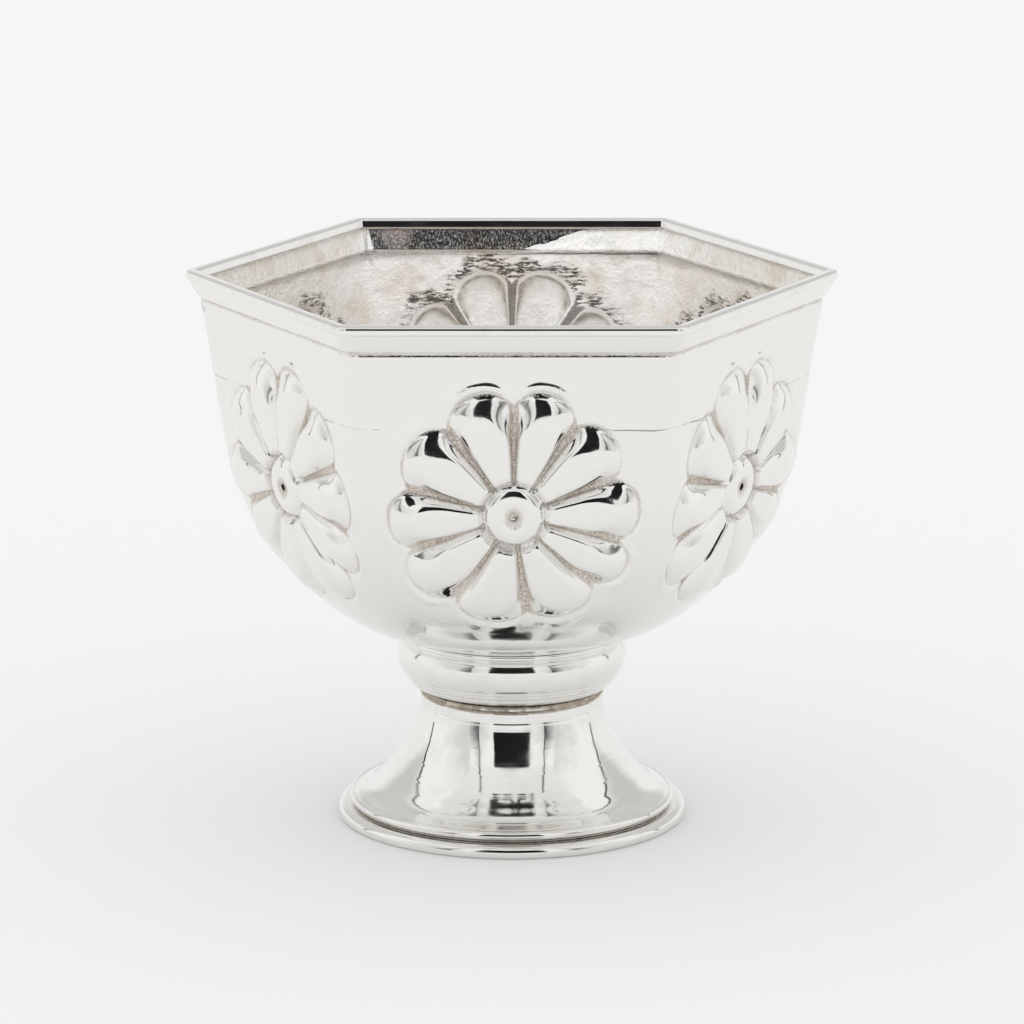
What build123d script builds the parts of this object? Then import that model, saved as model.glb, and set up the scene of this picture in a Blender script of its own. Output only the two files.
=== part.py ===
"""Small hexagonal offering bowl of silver sheet on a round pedestal foot.

Six flat faces run down from a flared lip and turn round towards the bottom.
Each face carries one rosette, chased out from inside: ten petals about a boss.
The bowl stands on a cushion-shaped collar, a spun trumpet foot and a base ring.
Origin: middle of the base ring's underside, +Z up, corners of the mouth on the X axis.
"""
from build123d import *
from math import asin, cos, degrees, hypot, radians, sin, sqrt
import os

# Bowl body, in millimetres
seat_reach = 14.0        # radius of the flat bottom that stands on the collar
bend_reach = 38.0        # centre to corner where the lip starts to flare
body_depth = 41.6        # from the flat bottom up to the lip's bend
sheet = 0.9              # thickness of the bowl's silver sheet
lip_height = 2.5
lip_flare = 1.5          # how far the lip leans out at its corners

# Rim wire
rim_width = 1.8
rim_height = 1.1
rim_overhang = 0.35      # how far the wire stands out past the lip
rim_bevel = 0.5          # bevel of the wire's two upper edges

# Rosettes
rosette_side_gap = 2.35  # from the tips of a rosette to the bowl's corners
rosette_share = 0.517    # height of the boss centre, of the body's depth
boss_radius = 3.7
boss_relief = 1.1
dimple_radius = 1.15
dimple_depth = 0.45
petal_groove = 1.1       # width of the gap between two petals where they are widest
petal_relief = 1.35      # height of a petal's crown over the wall
petal_embed = 0.4        # how far petals and boss reach into the sheet
hollow_margin = 0.2      # how much narrower a hollow is than its petal, each side
rosette_shift = 0.25     # how far the rosettes lie to the right of the faces' middle
back_shift = 0           # the same for the rosette of the back face
back_lift = 1.2          # how far the back rosette lies above the others

# Collar
collar_height = 8.0
collar_radius = 14.2
neck_radius = 11.0
neck_height = 0.6        # upright part under the cushion
collar_sheet = 1.0
collar_bead_height = 0.6
collar_groove = 0.3      # depth and height of the groove under that bead

# Foot
foot_height = 13.5
foot_sheet = 0.9
foot_neck_radius = 11.25
foot_mouth_radius = 19.3
foot_bead_width = 0.95
foot_bead_height = 1.05

# Base ring and solder
ring_radius = 21.7
ring_bore_radius = 18.6
ring_height = 1.6
ring_round = 0.65        # rounding of the ring's shoulder
ring_joint = 0.3         # thickness of the solder between ring and foot
ring_joint_inset = 0.15  # how far that solder lies back from the bead
neck_bead_radius = 0.5   # half the height of the solder outside the collar's neck
seat_fillet = 0.7        # leg of the solder inside the collar
mouth_corner = 0.05      # radius of the mouth's inner corners
cut_over = 1.0           # how far cutting solids run past what they cut

# The mouth is a regular hexagon
face_count = 6
full_turn = 360
face_turn = full_turn / face_count
back_face = 1            # counted from the first face past the +X corner
half_turn = face_turn / 2

# Angles of the grooves between petals, as the hand that chased them set them
groove_turns = (90, 128, 166, 199, 237, 277, 317, 346, 380, 415, 450)

# Heights from the ground up
foot_base_level = ring_height + ring_joint
collar_base_level = foot_base_level + foot_height
seat_level = collar_base_level + collar_height
bend_level = seat_level + body_depth
lip_level = bend_level + lip_height

# One row for each level of the body: height as a share of the depth, corner
# reach as a share of the way from seat to bend, then corner radius and side
# radius as shares of the reach
body_shares = (
    (0, 0, 0.985, 1.0064),
    (0.0385, 0.183, 0.924, 1.043),
    (0.0865, 0.333, 0.864, 1.100),
    (0.147, 0.467, 0.694, 1.349),
    (0.219, 0.596, 0.495, 2.12),
    (0.303, 0.704, 0.350, 4.2),
    (0.399, 0.792, 0.242, 7.9),
    (0.519, 0.8625, 0.167, 17.3),
    (0.664, 0.908, 0.126, 33.5),
    (0.832, 0.954, 0.087, 65.0),
    (1, 1, 0.053, 105.0),
)

# Petals, from the root under the boss to the tip: place along the petal, width as a
# share of the room between the grooves there, and height as a share of the relief
petal_shares = (
    (0.08, 1, 0.45),
    (0.60, 1, 1),
    (0.87, 0.96, 0.88),
    (1, 0.60, -0.15),
)
hollow_shares = ((0.20, 1, -0.15), (0.72, 1, 1), (1, 0.55, -0.15))

# Sections of a petal and of its hollow: sideways as shares of the half width, upward
# as shares of the height
section_shares = ((-1, 0), (-0.80, 0.92), (0.80, 0.92), (1, 0))
hollow_section_shares = ((-1, 0), (-0.62, 0.9), (0.62, 0.9), (1, 0))

# Width and height of the rosettes as shares of the compass circle
rosette_fit_shares = (0.98, 1.04)
back_fit_shares = (1.04, 1.08)

# Boss: profile from its foot to its middle, as shares of its radius and relief
boss_shares = ((1, 0), (0.82, 0.70), (0, 1))

# Foot: outer curve as shares of its flare and of its height, from neck to mouth
foot_shares = ((0, 1), (0.04, 0.80), (0.21, 0.57), (0.525, 0.33), (0.81, 0.145), (1, 0.085))

# Collar: cushion curve as shares of its radius and of its height, from top to bottom
collar_shares = ((0.985, 0.83), (1, 0.74), (0.998, 0.61), (0.965, 0.425), (0.93, 0.325), (0.873, 0.19))


class Station:
    """One level of the body: a hexagon of arcs that can swell to a circle."""

    def __init__(self, level, reach, corner, side):
        self.level = level
        self.reach = reach
        self.corner = corner
        self.side = side
        self.corner_centre = reach - corner
        half_gap = self.corner_centre / 2
        self.sweep = degrees(asin(half_gap / (side - corner)))
        self.apothem = (
            side
            + self.corner_centre * cos(radians(half_turn))
            - sqrt((side - corner) ** 2 - half_gap**2)
        )

    def inside(self, wall, lean):
        """The same level of the sheet's inner side, moved in along the wall's normal."""
        inset = wall * cos(lean)
        return Station(
            self.level + wall * sin(lean),
            self.reach - inset,
            self.corner - inset,
            self.side - inset,
        )

    def outline(self):
        """Closed face of six corner arcs and six side arcs, tangent to each other."""
        arcs = []
        for number in range(face_count):
            corner_angle = number * face_turn
            side_angle = corner_angle + half_turn
            corner_at = polar(self.corner_centre, corner_angle)
            side_at = polar(self.apothem - self.side, side_angle)
            half_corner = half_turn - self.sweep
            arcs.append(CenterArc(corner_at, self.corner, corner_angle - half_corner, 2 * half_corner))
            arcs.append(CenterArc(side_at, self.side, side_angle - self.sweep, 2 * self.sweep))
        return Pos(0, 0, self.level) * make_face(Wire(arcs))


def polar(radius, angle):
    """Point at a radius and an angle in degrees."""
    return (radius * cos(radians(angle)), radius * sin(radians(angle)))


def body_stations():
    """Outer levels of the body, from the flat bottom up to the lip's bend."""
    stations = []
    for level, reach, corner, side in body_shares:
        real_reach = seat_reach + reach * (bend_reach - seat_reach)
        stations.append(
            Station(
                seat_level + level * body_depth,
                real_reach,
                corner * real_reach,
                side * real_reach,
            )
        )
    return stations


def lip_station():
    """Outer level of the lip's upper edge."""
    reach = bend_reach + lip_flare
    corner = mouth_corner + rim_width - rim_overhang
    return Station(lip_level, reach, corner, stations_out[-1].side)


def leans(stations):
    """Angle by which the wall leans out at each level, in radians."""
    found = []
    last = len(stations) - 1
    for number in range(len(stations)):
        low = stations[max(number - 1, 0)]
        high = stations[min(number + 1, last)]
        run = high.reach - low.reach
        rise = high.level - low.level
        found.append(asin(run / hypot(run, rise)))
    return found


stations_out = body_stations()
stations_in = [s.inside(sheet, lean) for s, lean in zip(stations_out, leans(stations_out))]
lip_out = lip_station()
rim_station = Station(
    lip_level, lip_out.reach + rim_overhang, lip_out.corner + rim_overhang, lip_out.side
)

# The middle line of the front face, from the bottom up, and the boss on it
face_line = Spline([(s.apothem, 0, s.level) for s in stations_out])


def arc_length_at(level):
    """Length along the face's middle line at which it reaches a height."""
    low, high = 0, face_line.length
    for _ in range(40):
        middle = (low + high) / 2
        point = face_line.position_at(middle, position_mode=PositionMode.LENGTH)
        if point.Z < level:
            low = middle
        else:
            high = middle
    return low


boss_level = seat_level + rosette_share * body_depth
boss_length = arc_length_at(boss_level)


def reach_at(level):
    """Corner reach of the body at a height."""
    for low, high in zip(stations_out, stations_out[1:]):
        if level <= high.level:
            share = (level - low.level) / (high.level - low.level)
            return (1 - share) * low.reach + share * high.reach
    return stations_out[-1].reach


rosette_radius = reach_at(boss_level) / 2 - rosette_side_gap


def side_radius_at(level):
    """Radius of the face's sideways curve at a height."""
    for low, high in zip(stations_out, stations_out[1:]):
        if level <= high.level:
            share = (level - low.level) / (high.level - low.level)
            bend = (1 - share) / low.side + share / high.side
            return 1 / bend
    return stations_out[-1].side


def wall_point(along, across):
    """Point of the +X face: a length up the face's middle line, a length sideways."""
    on_line = face_line.position_at(boss_length + along, position_mode=PositionMode.LENGTH)
    radius = side_radius_at(on_line.Z)
    return Vector(on_line.X - radius + sqrt(radius**2 - across**2), across, on_line.Z)


def wall_normal(along, across):
    """Outward normal of the +X face, from two short steps on it."""
    step = sheet
    up = wall_point(along + step, across) - wall_point(along - step, across)
    side = wall_point(along, across + step) - wall_point(along, across - step)
    return side.cross(up).normalized()


class Rosette:
    """Petals, boss and dimple of one face, drawn on it as a stretched circle."""

    def __init__(self, fit_shares, shift, lift):
        self.wide, self.high = fit_shares
        self.shift = shift
        self.lift = lift

    def middle(self):
        """Place of the boss and the outward direction there."""
        return wall_point(self.lift, self.shift), wall_normal(self.lift, self.shift)

    def petal(self, low_turn, high_turn, wall, rows, section):
        """Flat-topped pillow between two grooves; wall moves it inside for a hollow."""
        turn = radians(low_turn + high_turn) / 2
        ahead = Vector(self.high * sin(turn), self.wide * cos(turn))
        stretch = hypot(self.wide * sin(turn), self.high * cos(turn))
        room = sin(radians(high_turn - low_turn) / 2) - petal_groove / 2 / rosette_radius
        margin = hollow_margin if wall else 0
        root = boss_radius - petal_groove
        sections = []
        for place, width, relief in rows:
            out = root + place * (rosette_radius - root)
            half_width = width * stretch * room * out - margin
            here = Vector(self.lift, self.shift) + ahead * out
            front, back = here + ahead * sheet, here - ahead * sheet
            forward = wall_point(front.X, front.Y) - wall_point(back.X, back.Y)
            normal = wall_normal(here.X, here.Y)
            centre = wall_point(here.X, here.Y) - normal * wall
            plane = Plane(origin=centre, x_dir=forward.cross(normal), z_dir=forward.normalized())
            tall = petal_embed + relief * petal_relief
            outline = [(across * half_width, up * tall - petal_embed) for across, up in section]
            sections.append(plane * make_face(Polyline(outline, close=True)))
        return loft(sections, ruled=True)

    def boss(self, wall):
        """Low round rise in the middle; wall moves it inside for a hollow."""
        point, normal = self.middle()
        plane = Plane(origin=point - normal * wall, x_dir=(0, 1, 0), z_dir=normal)
        radius = boss_radius - wall
        profile = [(share * radius, 0, up * boss_relief) for share, up in boss_shares]
        profile += [(0, 0, -petal_embed), (radius, 0, -petal_embed)]
        return plane * spun(Polyline(profile, close=True))

    def dimple(self):
        """Ball that presses the small hollow into the top of the boss."""
        radius = (dimple_radius**2 + dimple_depth**2) / (2 * dimple_depth)
        point, normal = self.middle()
        centre = point + normal * (boss_relief + radius - dimple_depth)
        return Pos(*centre) * Sphere(radius)


def sector_prism():
    """Wedge of one face's turn about the +X face, taller and wider than the bowl."""
    far = 2 * (bend_reach + lip_flare)
    left, right = polar(far, half_turn), polar(far, -half_turn)
    wedge = make_face(Polyline((0, 0), right, left, close=True))
    return extrude(wedge, amount=lip_level + cut_over)


def chased_sector(stations, top, wall, rosette):
    """One face's share of a solid form with its rosette pressed out of it."""
    form = loft([s.outline() for s in stations])
    form += loft([stations[-1].outline(), top.outline()], ruled=True)
    form = Rot(Z=-half_turn) * form & sector_prism()
    rows = hollow_shares if wall else petal_shares
    section = hollow_section_shares if wall else section_shares
    for low_turn, high_turn in zip(groove_turns, groove_turns[1:]):
        form += rosette.petal(low_turn, high_turn, wall, rows, section)
    return form + rosette.boss(wall)


def bowl_sector(rosette):
    """Sheet of one face: outer form less inner form."""
    lip_lean = asin(lip_flare / hypot(lip_flare, lip_height))
    lip_in = lip_out.inside(sheet, lip_lean)
    lip_in.level = lip_level
    top = Station(
        lip_level + cut_over,
        lip_in.reach + cut_over * lip_flare / lip_height,
        lip_in.corner,
        lip_in.side,
    )
    outer = chased_sector(stations_out, lip_out, 0, rosette) - rosette.dimple()
    return outer - chased_sector(stations_in, top, sheet, rosette)


def bowl_body():
    """Sheet body: six faces set round the axis, the back one with its own rosette."""
    sector = bowl_sector(Rosette(rosette_fit_shares, rosette_shift, 0))
    back_sector = bowl_sector(Rosette(back_fit_shares, back_shift, back_lift))
    body = None
    for number in range(face_count):
        chosen = back_sector if number == back_face else sector
        placed = Rot(Z=half_turn + number * face_turn) * chosen
        body = placed if body is None else body + placed
    return body


def rim_wire():
    """Bevelled wire round the mouth, standing a little proud of the lip both ways."""
    outer = extrude(rim_station.outline(), amount=rim_height)
    hole = rim_station.inside(rim_width, 0)
    wire = outer - extrude(hole.outline(), amount=rim_height)
    top = wire.faces().sort_by(Axis.Z)[-1]
    return chamfer(top.edges(), rim_bevel)


def to_space(points):
    """Turn (radius, height) pairs into points of the upright plane through X."""
    return [(radius, 0, height) for radius, height in points]


def spun(*lines):
    """Ring turned about the upright axis from the lines of a closed outline."""
    return revolve(make_face(sum(lines[1:], lines[0])), Axis.Z)


def inset(points, wall):
    """The same outline moved in by the wall, for points that run from top to bottom."""
    moved = []
    last = len(points) - 1
    for number, (radius, height) in enumerate(points):
        above, below = points[max(number - 1, 0)], points[min(number + 1, last)]
        run, fall = below[0] - above[0], above[1] - below[1]
        length = hypot(run, fall)
        moved.append((radius - wall * fall / length, height - wall * run / length))
    return moved


def collar():
    """Hollow cushion ring with a bead under the bowl, open at both ends."""
    bead_top = (seat_reach, seat_level)
    bead_low = (seat_reach, seat_level - collar_bead_height)
    groove = (seat_reach - collar_groove, bead_low[1] - collar_groove)
    cushion = [
        (radius * collar_radius, collar_base_level + height * collar_height)
        for radius, height in collar_shares
    ]
    throat = (neck_radius, collar_base_level + neck_height)
    neck = (neck_radius, collar_base_level)
    inner_top = (seat_reach - collar_sheet, seat_level)
    inner_neck = (neck_radius - collar_sheet, collar_base_level)
    inner = inset(cushion[0:-1:2] + [throat], collar_sheet)
    return spun(
        Polyline(to_space([bead_top, bead_low, groove, cushion[0]])),
        Spline(to_space(cushion)),
        Polyline(to_space([cushion[-1], throat, neck, inner_neck] + inner[::-1] + [inner_top, bead_top])),
    )


def foot():
    """Spun trumpet of even sheet whose lower edge ends in a round bead."""
    flare = foot_mouth_radius - foot_neck_radius
    curve = [
        (foot_neck_radius + out * flare, foot_base_level + up * foot_height)
        for out, up in foot_shares
    ]
    mouth = curve[-1]
    edge = (mouth[0] + foot_bead_width, foot_base_level + foot_bead_height / 2)
    bottom = (mouth[0] + foot_bead_width / 2, foot_base_level)
    heel = (ring_bore_radius, foot_base_level)
    inner = inset(curve, foot_sheet)[:-1]
    inner[0] = (foot_neck_radius - foot_sheet, collar_base_level)
    return spun(
        Spline(to_space(curve)),
        ThreePointArc(*to_space([mouth, edge, bottom])),
        Polyline(to_space([bottom, heel, inner[-1]])),
        Spline(to_space(inner[::-1])),
        Line(*to_space([inner[0], curve[0]])),
    )


def foot_ring():
    """Flat base ring with a rounded shoulder."""
    corners = [
        (ring_bore_radius, 0),
        (ring_radius, 0),
        (ring_radius, ring_height),
        (ring_bore_radius, ring_height),
    ]
    blank = spun(Polyline(to_space(corners), close=True))
    shoulder = blank.edges().group_by(Axis.Z)[-1].sort_by(SortBy.LENGTH)[-1]
    return fillet(shoulder, ring_round)


def foot_ring_solder():
    """Thin run of solder in the groove between base ring and foot."""
    reach = foot_mouth_radius + foot_bead_width / 2 - ring_joint_inset
    low, high = ring_height, foot_base_level
    corners = [(ring_bore_radius, low), (reach, low), (reach, high), (ring_bore_radius, high)]
    return spun(Polyline(to_space(corners), close=True))


def neck_solder(collar_ring, trumpet):
    """Ridge of solder outside the joint of collar and foot."""
    crest = neck_radius + neck_bead_radius
    corners = [
        (neck_radius - collar_sheet / 2, collar_base_level),
        (neck_radius, collar_base_level - neck_bead_radius),
        (crest, collar_base_level),
        (neck_radius, collar_base_level + neck_bead_radius),
    ]
    return spun(Polyline(to_space(corners), close=True)) - collar_ring - trumpet


def bowl_solder(collar_ring):
    """Three-cornered run of solder in the corner of collar and bowl, inside."""
    bore = seat_reach - collar_sheet
    corners = [(bore, seat_level), (bore - seat_fillet, seat_level), (bore, seat_level - seat_fillet)]
    return spun(Polyline(to_space(corners), close=True)) - collar_ring


def main():
    """Build every piece and write each to its own file."""
    collar_ring, trumpet = collar(), foot()
    pieces = {
        "bowl_body": bowl_body(),
        "rim_wire": rim_wire(),
        "collar": collar_ring,
        "foot": trumpet,
        "foot_ring": foot_ring(),
        "bowl_solder": bowl_solder(collar_ring),
        "neck_solder": neck_solder(collar_ring, trumpet),
        "foot_ring_solder": foot_ring_solder(),
    }
    os.makedirs("parts", exist_ok=True)
    for name, piece in pieces.items():
        export_step(piece, "parts/" + name + ".step")


main()
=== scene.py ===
"""A small hexagonal silver offering bowl on a round pedestal foot.

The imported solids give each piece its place. The finished surfaces are worked out here
as functions of two parameters: the chased body, the rim wire, the collar, the spun foot,
the base ring and the solder runs. Lengths are in metres.
"""

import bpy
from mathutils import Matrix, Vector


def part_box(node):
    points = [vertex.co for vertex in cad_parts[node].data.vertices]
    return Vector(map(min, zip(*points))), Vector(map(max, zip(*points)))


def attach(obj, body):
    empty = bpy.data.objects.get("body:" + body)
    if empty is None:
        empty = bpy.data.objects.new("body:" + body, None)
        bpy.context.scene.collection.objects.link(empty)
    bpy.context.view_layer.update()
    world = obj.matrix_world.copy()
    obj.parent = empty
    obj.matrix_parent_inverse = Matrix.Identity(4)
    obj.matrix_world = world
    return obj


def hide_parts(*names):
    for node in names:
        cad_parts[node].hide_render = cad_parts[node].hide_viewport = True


bl_info = {
    "name": "Silver Offering Bowl",
    "version": (1, 0, 0),
    "blender": (4, 5, 0),
    "location": "View3D > Sidebar > Bowl",
    "description": "Builds the finished surfaces of a chased hexagonal silver bowl",
    "category": "Add Mesh",
}

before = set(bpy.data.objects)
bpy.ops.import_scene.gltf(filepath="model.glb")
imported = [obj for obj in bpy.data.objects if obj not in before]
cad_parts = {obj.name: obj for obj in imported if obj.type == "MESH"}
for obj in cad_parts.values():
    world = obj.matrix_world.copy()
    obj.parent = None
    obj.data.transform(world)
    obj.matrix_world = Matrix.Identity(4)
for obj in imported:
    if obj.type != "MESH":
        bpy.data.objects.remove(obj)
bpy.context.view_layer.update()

from math import atan2, cos, pi, radians, sin, sqrt

import bmesh
import bpy
import numpy as np

MM = 0.001
FACES = 6
TURN = 2 * pi
SIXTH = TURN / FACES
HALF_SIXTH = SIXTH / 2
COS_HALF = cos(HALF_SIXTH)

BODY_LOW, BODY_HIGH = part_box("bowl_body")
RIM_LOW, RIM_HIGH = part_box("rim_wire")
COLLAR_LOW, COLLAR_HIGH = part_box("collar")
FOOT_LOW, FOOT_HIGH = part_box("foot")
RING_LOW, RING_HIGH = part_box("foot_ring")

# The grid of one face: rays to a petal, halvings that find where a ray ends, and how far
# under the lip's bend the face stops
RAYS_PER_PETAL = 20
HALVINGS = 44
FIELD_END = 0.6 * MM

# Rings of that grid over the boss, over the petals and over the plain field
RINGS_OUTSIDE = (9, 22, 14)
RINGS_INSIDE = (5, 13, 8)

# The mouth: its corner radius as a share of its corner reach, and its side radius as a
# multiple of the bend's corner reach
MOUTH_CORNER = 0.038
MOUTH_SIDE = 105

# Heights of the line scribed round the walls and of the dark line under the lip inside,
# and the place of the fire stain
SCRIBED_HEIGHT = 55.8 * MM
LIP_LINE = 64.3 * MM
STAIN_PLACE = (-14.8 * MM, 35 * MM, 66.3 * MM)

# The camera, as the fit to the photograph gives it: sensor width in millimetres, focal
# length in pixels of a frame so many pixels wide, distance to the point that it aims at,
# how far it looks down, that point's height, and how far it stands to the side
SENSOR = 36
FOCAL_PIXELS = 5790.9
FRAME_PIXELS = 1024
CAMERA_DISTANCE = 713.6 * MM
CAMERA_DOWN = radians(13.527)
AIM_HEIGHT = 38.168 * MM
CAMERA_SIDE = 0.027 * MM

# The lamp for the bowl's inside: before the bowl, over it and to the left, in metres
LAMP_PLACE = (-0.12, -0.52, 0.72)
LAMP_TURN = (radians(38), 0, radians(-13))
LAMP_SIZE = 0.4
LAMP_WATTS = 3.2

# Angles of the grooves between petals, uneven as a hand sets them
GROOVE_TURNS = (90.0, 128.0, 166.0, 199.0, 237.0, 277.0, 317.0, 346.0, 380.0, 415.0, 450.0)

# How each face's rosette is set: width and height as shares of the compass circle, then
# how far it lies to the right and up, in millimetres. The fourth face is the back one.
ROSETTE_SETTINGS = (
    (0.98, 1.04, 0.25, 0.10), (0.985, 1.035, 0.15, 0.10), (0.98, 1.04, 0.30, 0.0),
    (1.04, 1.08, 0.0, 1.2), (0.98, 1.045, 0.20, 0.05), (0.985, 1.035, 0.15, 0.10),
)

# Levels of the body: height as a share of the depth, corner reach as a share of
# the way from seat to bend, corner radius and side radius as shares of the reach
BODY_SHARES = np.array([
    (0, 0, 0.985, 1.0064),
    (0.0385, 0.183, 0.924, 1.043),
    (0.0865, 0.333, 0.864, 1.100),
    (0.147, 0.467, 0.694, 1.349),
    (0.219, 0.596, 0.495, 2.12),
    (0.303, 0.704, 0.350, 4.2),
    (0.399, 0.792, 0.242, 7.9),
    (0.519, 0.8625, 0.167, 17.3),
    (0.664, 0.908, 0.126, 33.5),
    (0.832, 0.954, 0.087, 65.0),
    (1, 1, 0.053, 105.0),
])


def length(name, text, default):
    """A length that a user would change, in metres."""
    return bpy.props.FloatProperty(name=name, description=text, default=default, unit="LENGTH")


def tint(name, text, code):
    """A colour that a user would change, written as an sRGB hex value."""
    return bpy.props.FloatVectorProperty(
        name=name, description=text, default=hex_to_linear(code), subtype="COLOR",
        size=4, min=0, max=1,
    )


def hex_to_linear(code):
    """Linear RGBA of an sRGB hex colour such as F2F0EC."""
    parts = [int(code[place:place + 2], 16) / 255 for place in (0, 2, 4)]
    linear = [p / 12.92 if p <= 0.04045 else ((p + 0.055) / 1.055) ** 2.4 for p in parts]
    return (*linear, 1)


class BowlSizes(bpy.types.PropertyGroup):
    """Sizes of the chased body and its rim."""
    seat_reach: length("Seat radius", "Radius of the flat bottom", 14.0 * MM)
    bend_reach: length("Bend reach", "Centre to corner at the lip's bend", 38.0 * MM)
    sheet: length("Sheet", "Thickness of the silver sheet", 0.9 * MM)
    lip_height: length("Lip height", "Height of the flared lip", 2.5 * MM)
    lip_flare: length("Lip flare", "How far the lip leans out at its corners", 1.5 * MM)
    lip_groove: length("Lip groove", "Depth of the groove under the lip", 0.13 * MM)
    rim_width: length("Rim width", "Width of the rim wire", 1.8 * MM)


class RosetteSizes(bpy.types.PropertyGroup):
    """Sizes of one chased rosette."""
    petals: bpy.props.IntProperty(name="Petals", description="Petals of a rosette", default=10, min=4)
    radius: length("Radius", "Middle of the boss to a petal's tip", 15.0 * MM)
    level: length("Level", "Middle of the boss above the flat bottom", 21.7 * MM)
    petal_relief: length("Petal relief", "Height of a petal over the wall", 1.4 * MM)
    boss_radius: length("Boss radius", "Radius of the domed middle", 3.75 * MM)
    boss_relief: length("Boss relief", "Height of the domed middle", 1.15 * MM)
    dimple_radius: length("Dimple radius", "Radius of the punch mark on the boss", 1.45 * MM)
    dimple_depth: length("Dimple depth", "Depth of the punch mark", 0.20 * MM)
    groove: length("Groove", "Width of the gap between petals at their widest", 1.05 * MM)
    notch: length("Notch", "How far the edge dips between two petals' tips", 2.3 * MM)


class BowlColours(bpy.types.PropertyGroup):
    """Colours of the metal and of what has settled in its grooves."""
    silver: tint("Silver", "Polished silver", "F1F0ED")
    pickled: tint("Pickled silver", "Matte silver of the inside", "FEFDFB")
    patina: tint("Patina", "Film in the chased grooves", "94867A")
    solder: tint("Solder", "Tarnished solder", "D2C6B6")


# Shape of the body


def smooth_between(x, knots, values):
    """Cubic through the knots whose slopes are those of the chords around each knot."""
    slopes = np.gradient(values, knots)
    i = np.clip(np.searchsorted(knots, x) - 1, 0, len(knots) - 2)
    span = knots[i + 1] - knots[i]
    t = (x - knots[i]) / span
    return (
        (2 * t**3 - 3 * t**2 + 1) * values[i]
        + (t**3 - 2 * t**2 + t) * span * slopes[i]
        + (3 * t**2 - 2 * t**3) * values[i + 1]
        + (t**3 - t**2) * span * slopes[i + 1]
    )


def station(sizes, level):
    """Corner reach, corner radius and side radius of the body at each height."""
    depth = BODY_HIGH.z - sizes.lip_height - BODY_LOW.z
    share = np.clip((level - BODY_LOW.z) / depth, 0, 1)
    knots = BODY_SHARES[:, 0]
    reach_share = smooth_between(share, knots, BODY_SHARES[:, 1])
    reach = sizes.seat_reach + reach_share * (sizes.bend_reach - sizes.seat_reach)
    corner = smooth_between(share, knots, BODY_SHARES[:, 2]) * reach
    flatness = smooth_between(share, knots, 1 / BODY_SHARES[:, 3])
    return reach, corner, reach / flatness


def section_depth(across, reach, corner, side):
    """Distance from the axis plane to the wall of a hexagon made of arcs, at a sideways place.

    The side is an arc of the side radius, the corner an arc of the corner radius about a
    point on the corner's diagonal, and the two meet where both have the same normal.
    """
    centre = reach - corner
    rise = np.sqrt((side - corner) ** 2 - (centre / 2) ** 2)
    side_centre = centre * COS_HALF - rise
    turn = side * (centre / 2) / (side - corner)
    on_side = side_centre + np.sqrt(np.maximum(side**2 - across**2, 0))
    beyond = np.abs(across) - centre / 2
    on_corner = centre * COS_HALF + np.sqrt(np.maximum(corner**2 - beyond**2, 0))
    return np.where(np.abs(across) <= turn, on_side, on_corner)


class FaceMap:
    """One face of the body as a function of two lengths: sideways, and up the middle line."""

    def __init__(self, sizes, rosette):
        self.sizes = sizes
        top = BODY_HIGH.z - sizes.lip_height - FIELD_END
        level = np.linspace(BODY_LOW.z, top, 900)
        depth = section_depth(np.zeros_like(level), *station(sizes, level))
        steps = np.hypot(np.diff(level), np.diff(depth))
        arc = np.concatenate([[0], np.cumsum(steps)])
        boss = np.interp(BODY_LOW.z + rosette.level, level, arc)
        self.level, self.arc = level, arc - boss
        self.low, self.high = self.arc[0], self.arc[-1]

    def level_at(self, along):
        """Height of the wall at a length up the face, straight on past both ends."""
        inside = np.interp(along, self.arc, self.level)
        rate = (self.level[-1] - self.level[-2]) / (self.arc[-1] - self.arc[-2])
        return inside + np.maximum(along - self.high, 0) * rate

    def half_width(self, along):
        """Sideways distance from the middle line to the corner."""
        return station(self.sizes, self.level_at(along))[0] / 2

    def point(self, across, along):
        """Points of the face that looks along -Y."""
        level = self.level_at(along)
        depth = section_depth(across, *station(self.sizes, level))
        return np.stack([across, -depth, level], -1)

    def normal(self, across, along):
        """Outward normals from short steps both ways."""
        step = 0.05 * MM
        low = np.maximum(along - step, self.low)
        high = np.minimum(along + step, self.high)
        up = self.point(across, high) - self.point(across, low)
        side = self.point(across + step, along) - self.point(across - step, along)
        found = np.cross(side, up)
        return found / np.linalg.norm(found, axis=-1, keepdims=True)


def value_noise(points, cell, seed):
    """Smooth noise from -1 to 1: random values on a lattice of that cell, blended between."""
    lattice = np.random.default_rng(seed).uniform(-1, 1, (32, 32, 32))
    place = points / cell
    base = np.floor(place).astype(int)
    part = place - base
    part = part * part * (3 - 2 * part)
    total = np.zeros(points.shape[:-1])
    for dx in (0, 1):
        for dy in (0, 1):
            for dz in (0, 1):
                corner = (base + (dx, dy, dz)) % 32
                share = (
                    np.where(dx, part[..., 0], 1 - part[..., 0])
                    * np.where(dy, part[..., 1], 1 - part[..., 1])
                    * np.where(dz, part[..., 2], 1 - part[..., 2])
                )
                total += share * lattice[corner[..., 0], corner[..., 1], corner[..., 2]]
    return total


def smooth_step(low, high, x):
    """0 below low, 1 above high, and an S curve between."""
    t = np.clip((x - low) / (high - low), 0, 1)
    return t * t * (3 - 2 * t)


# Rosette


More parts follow.
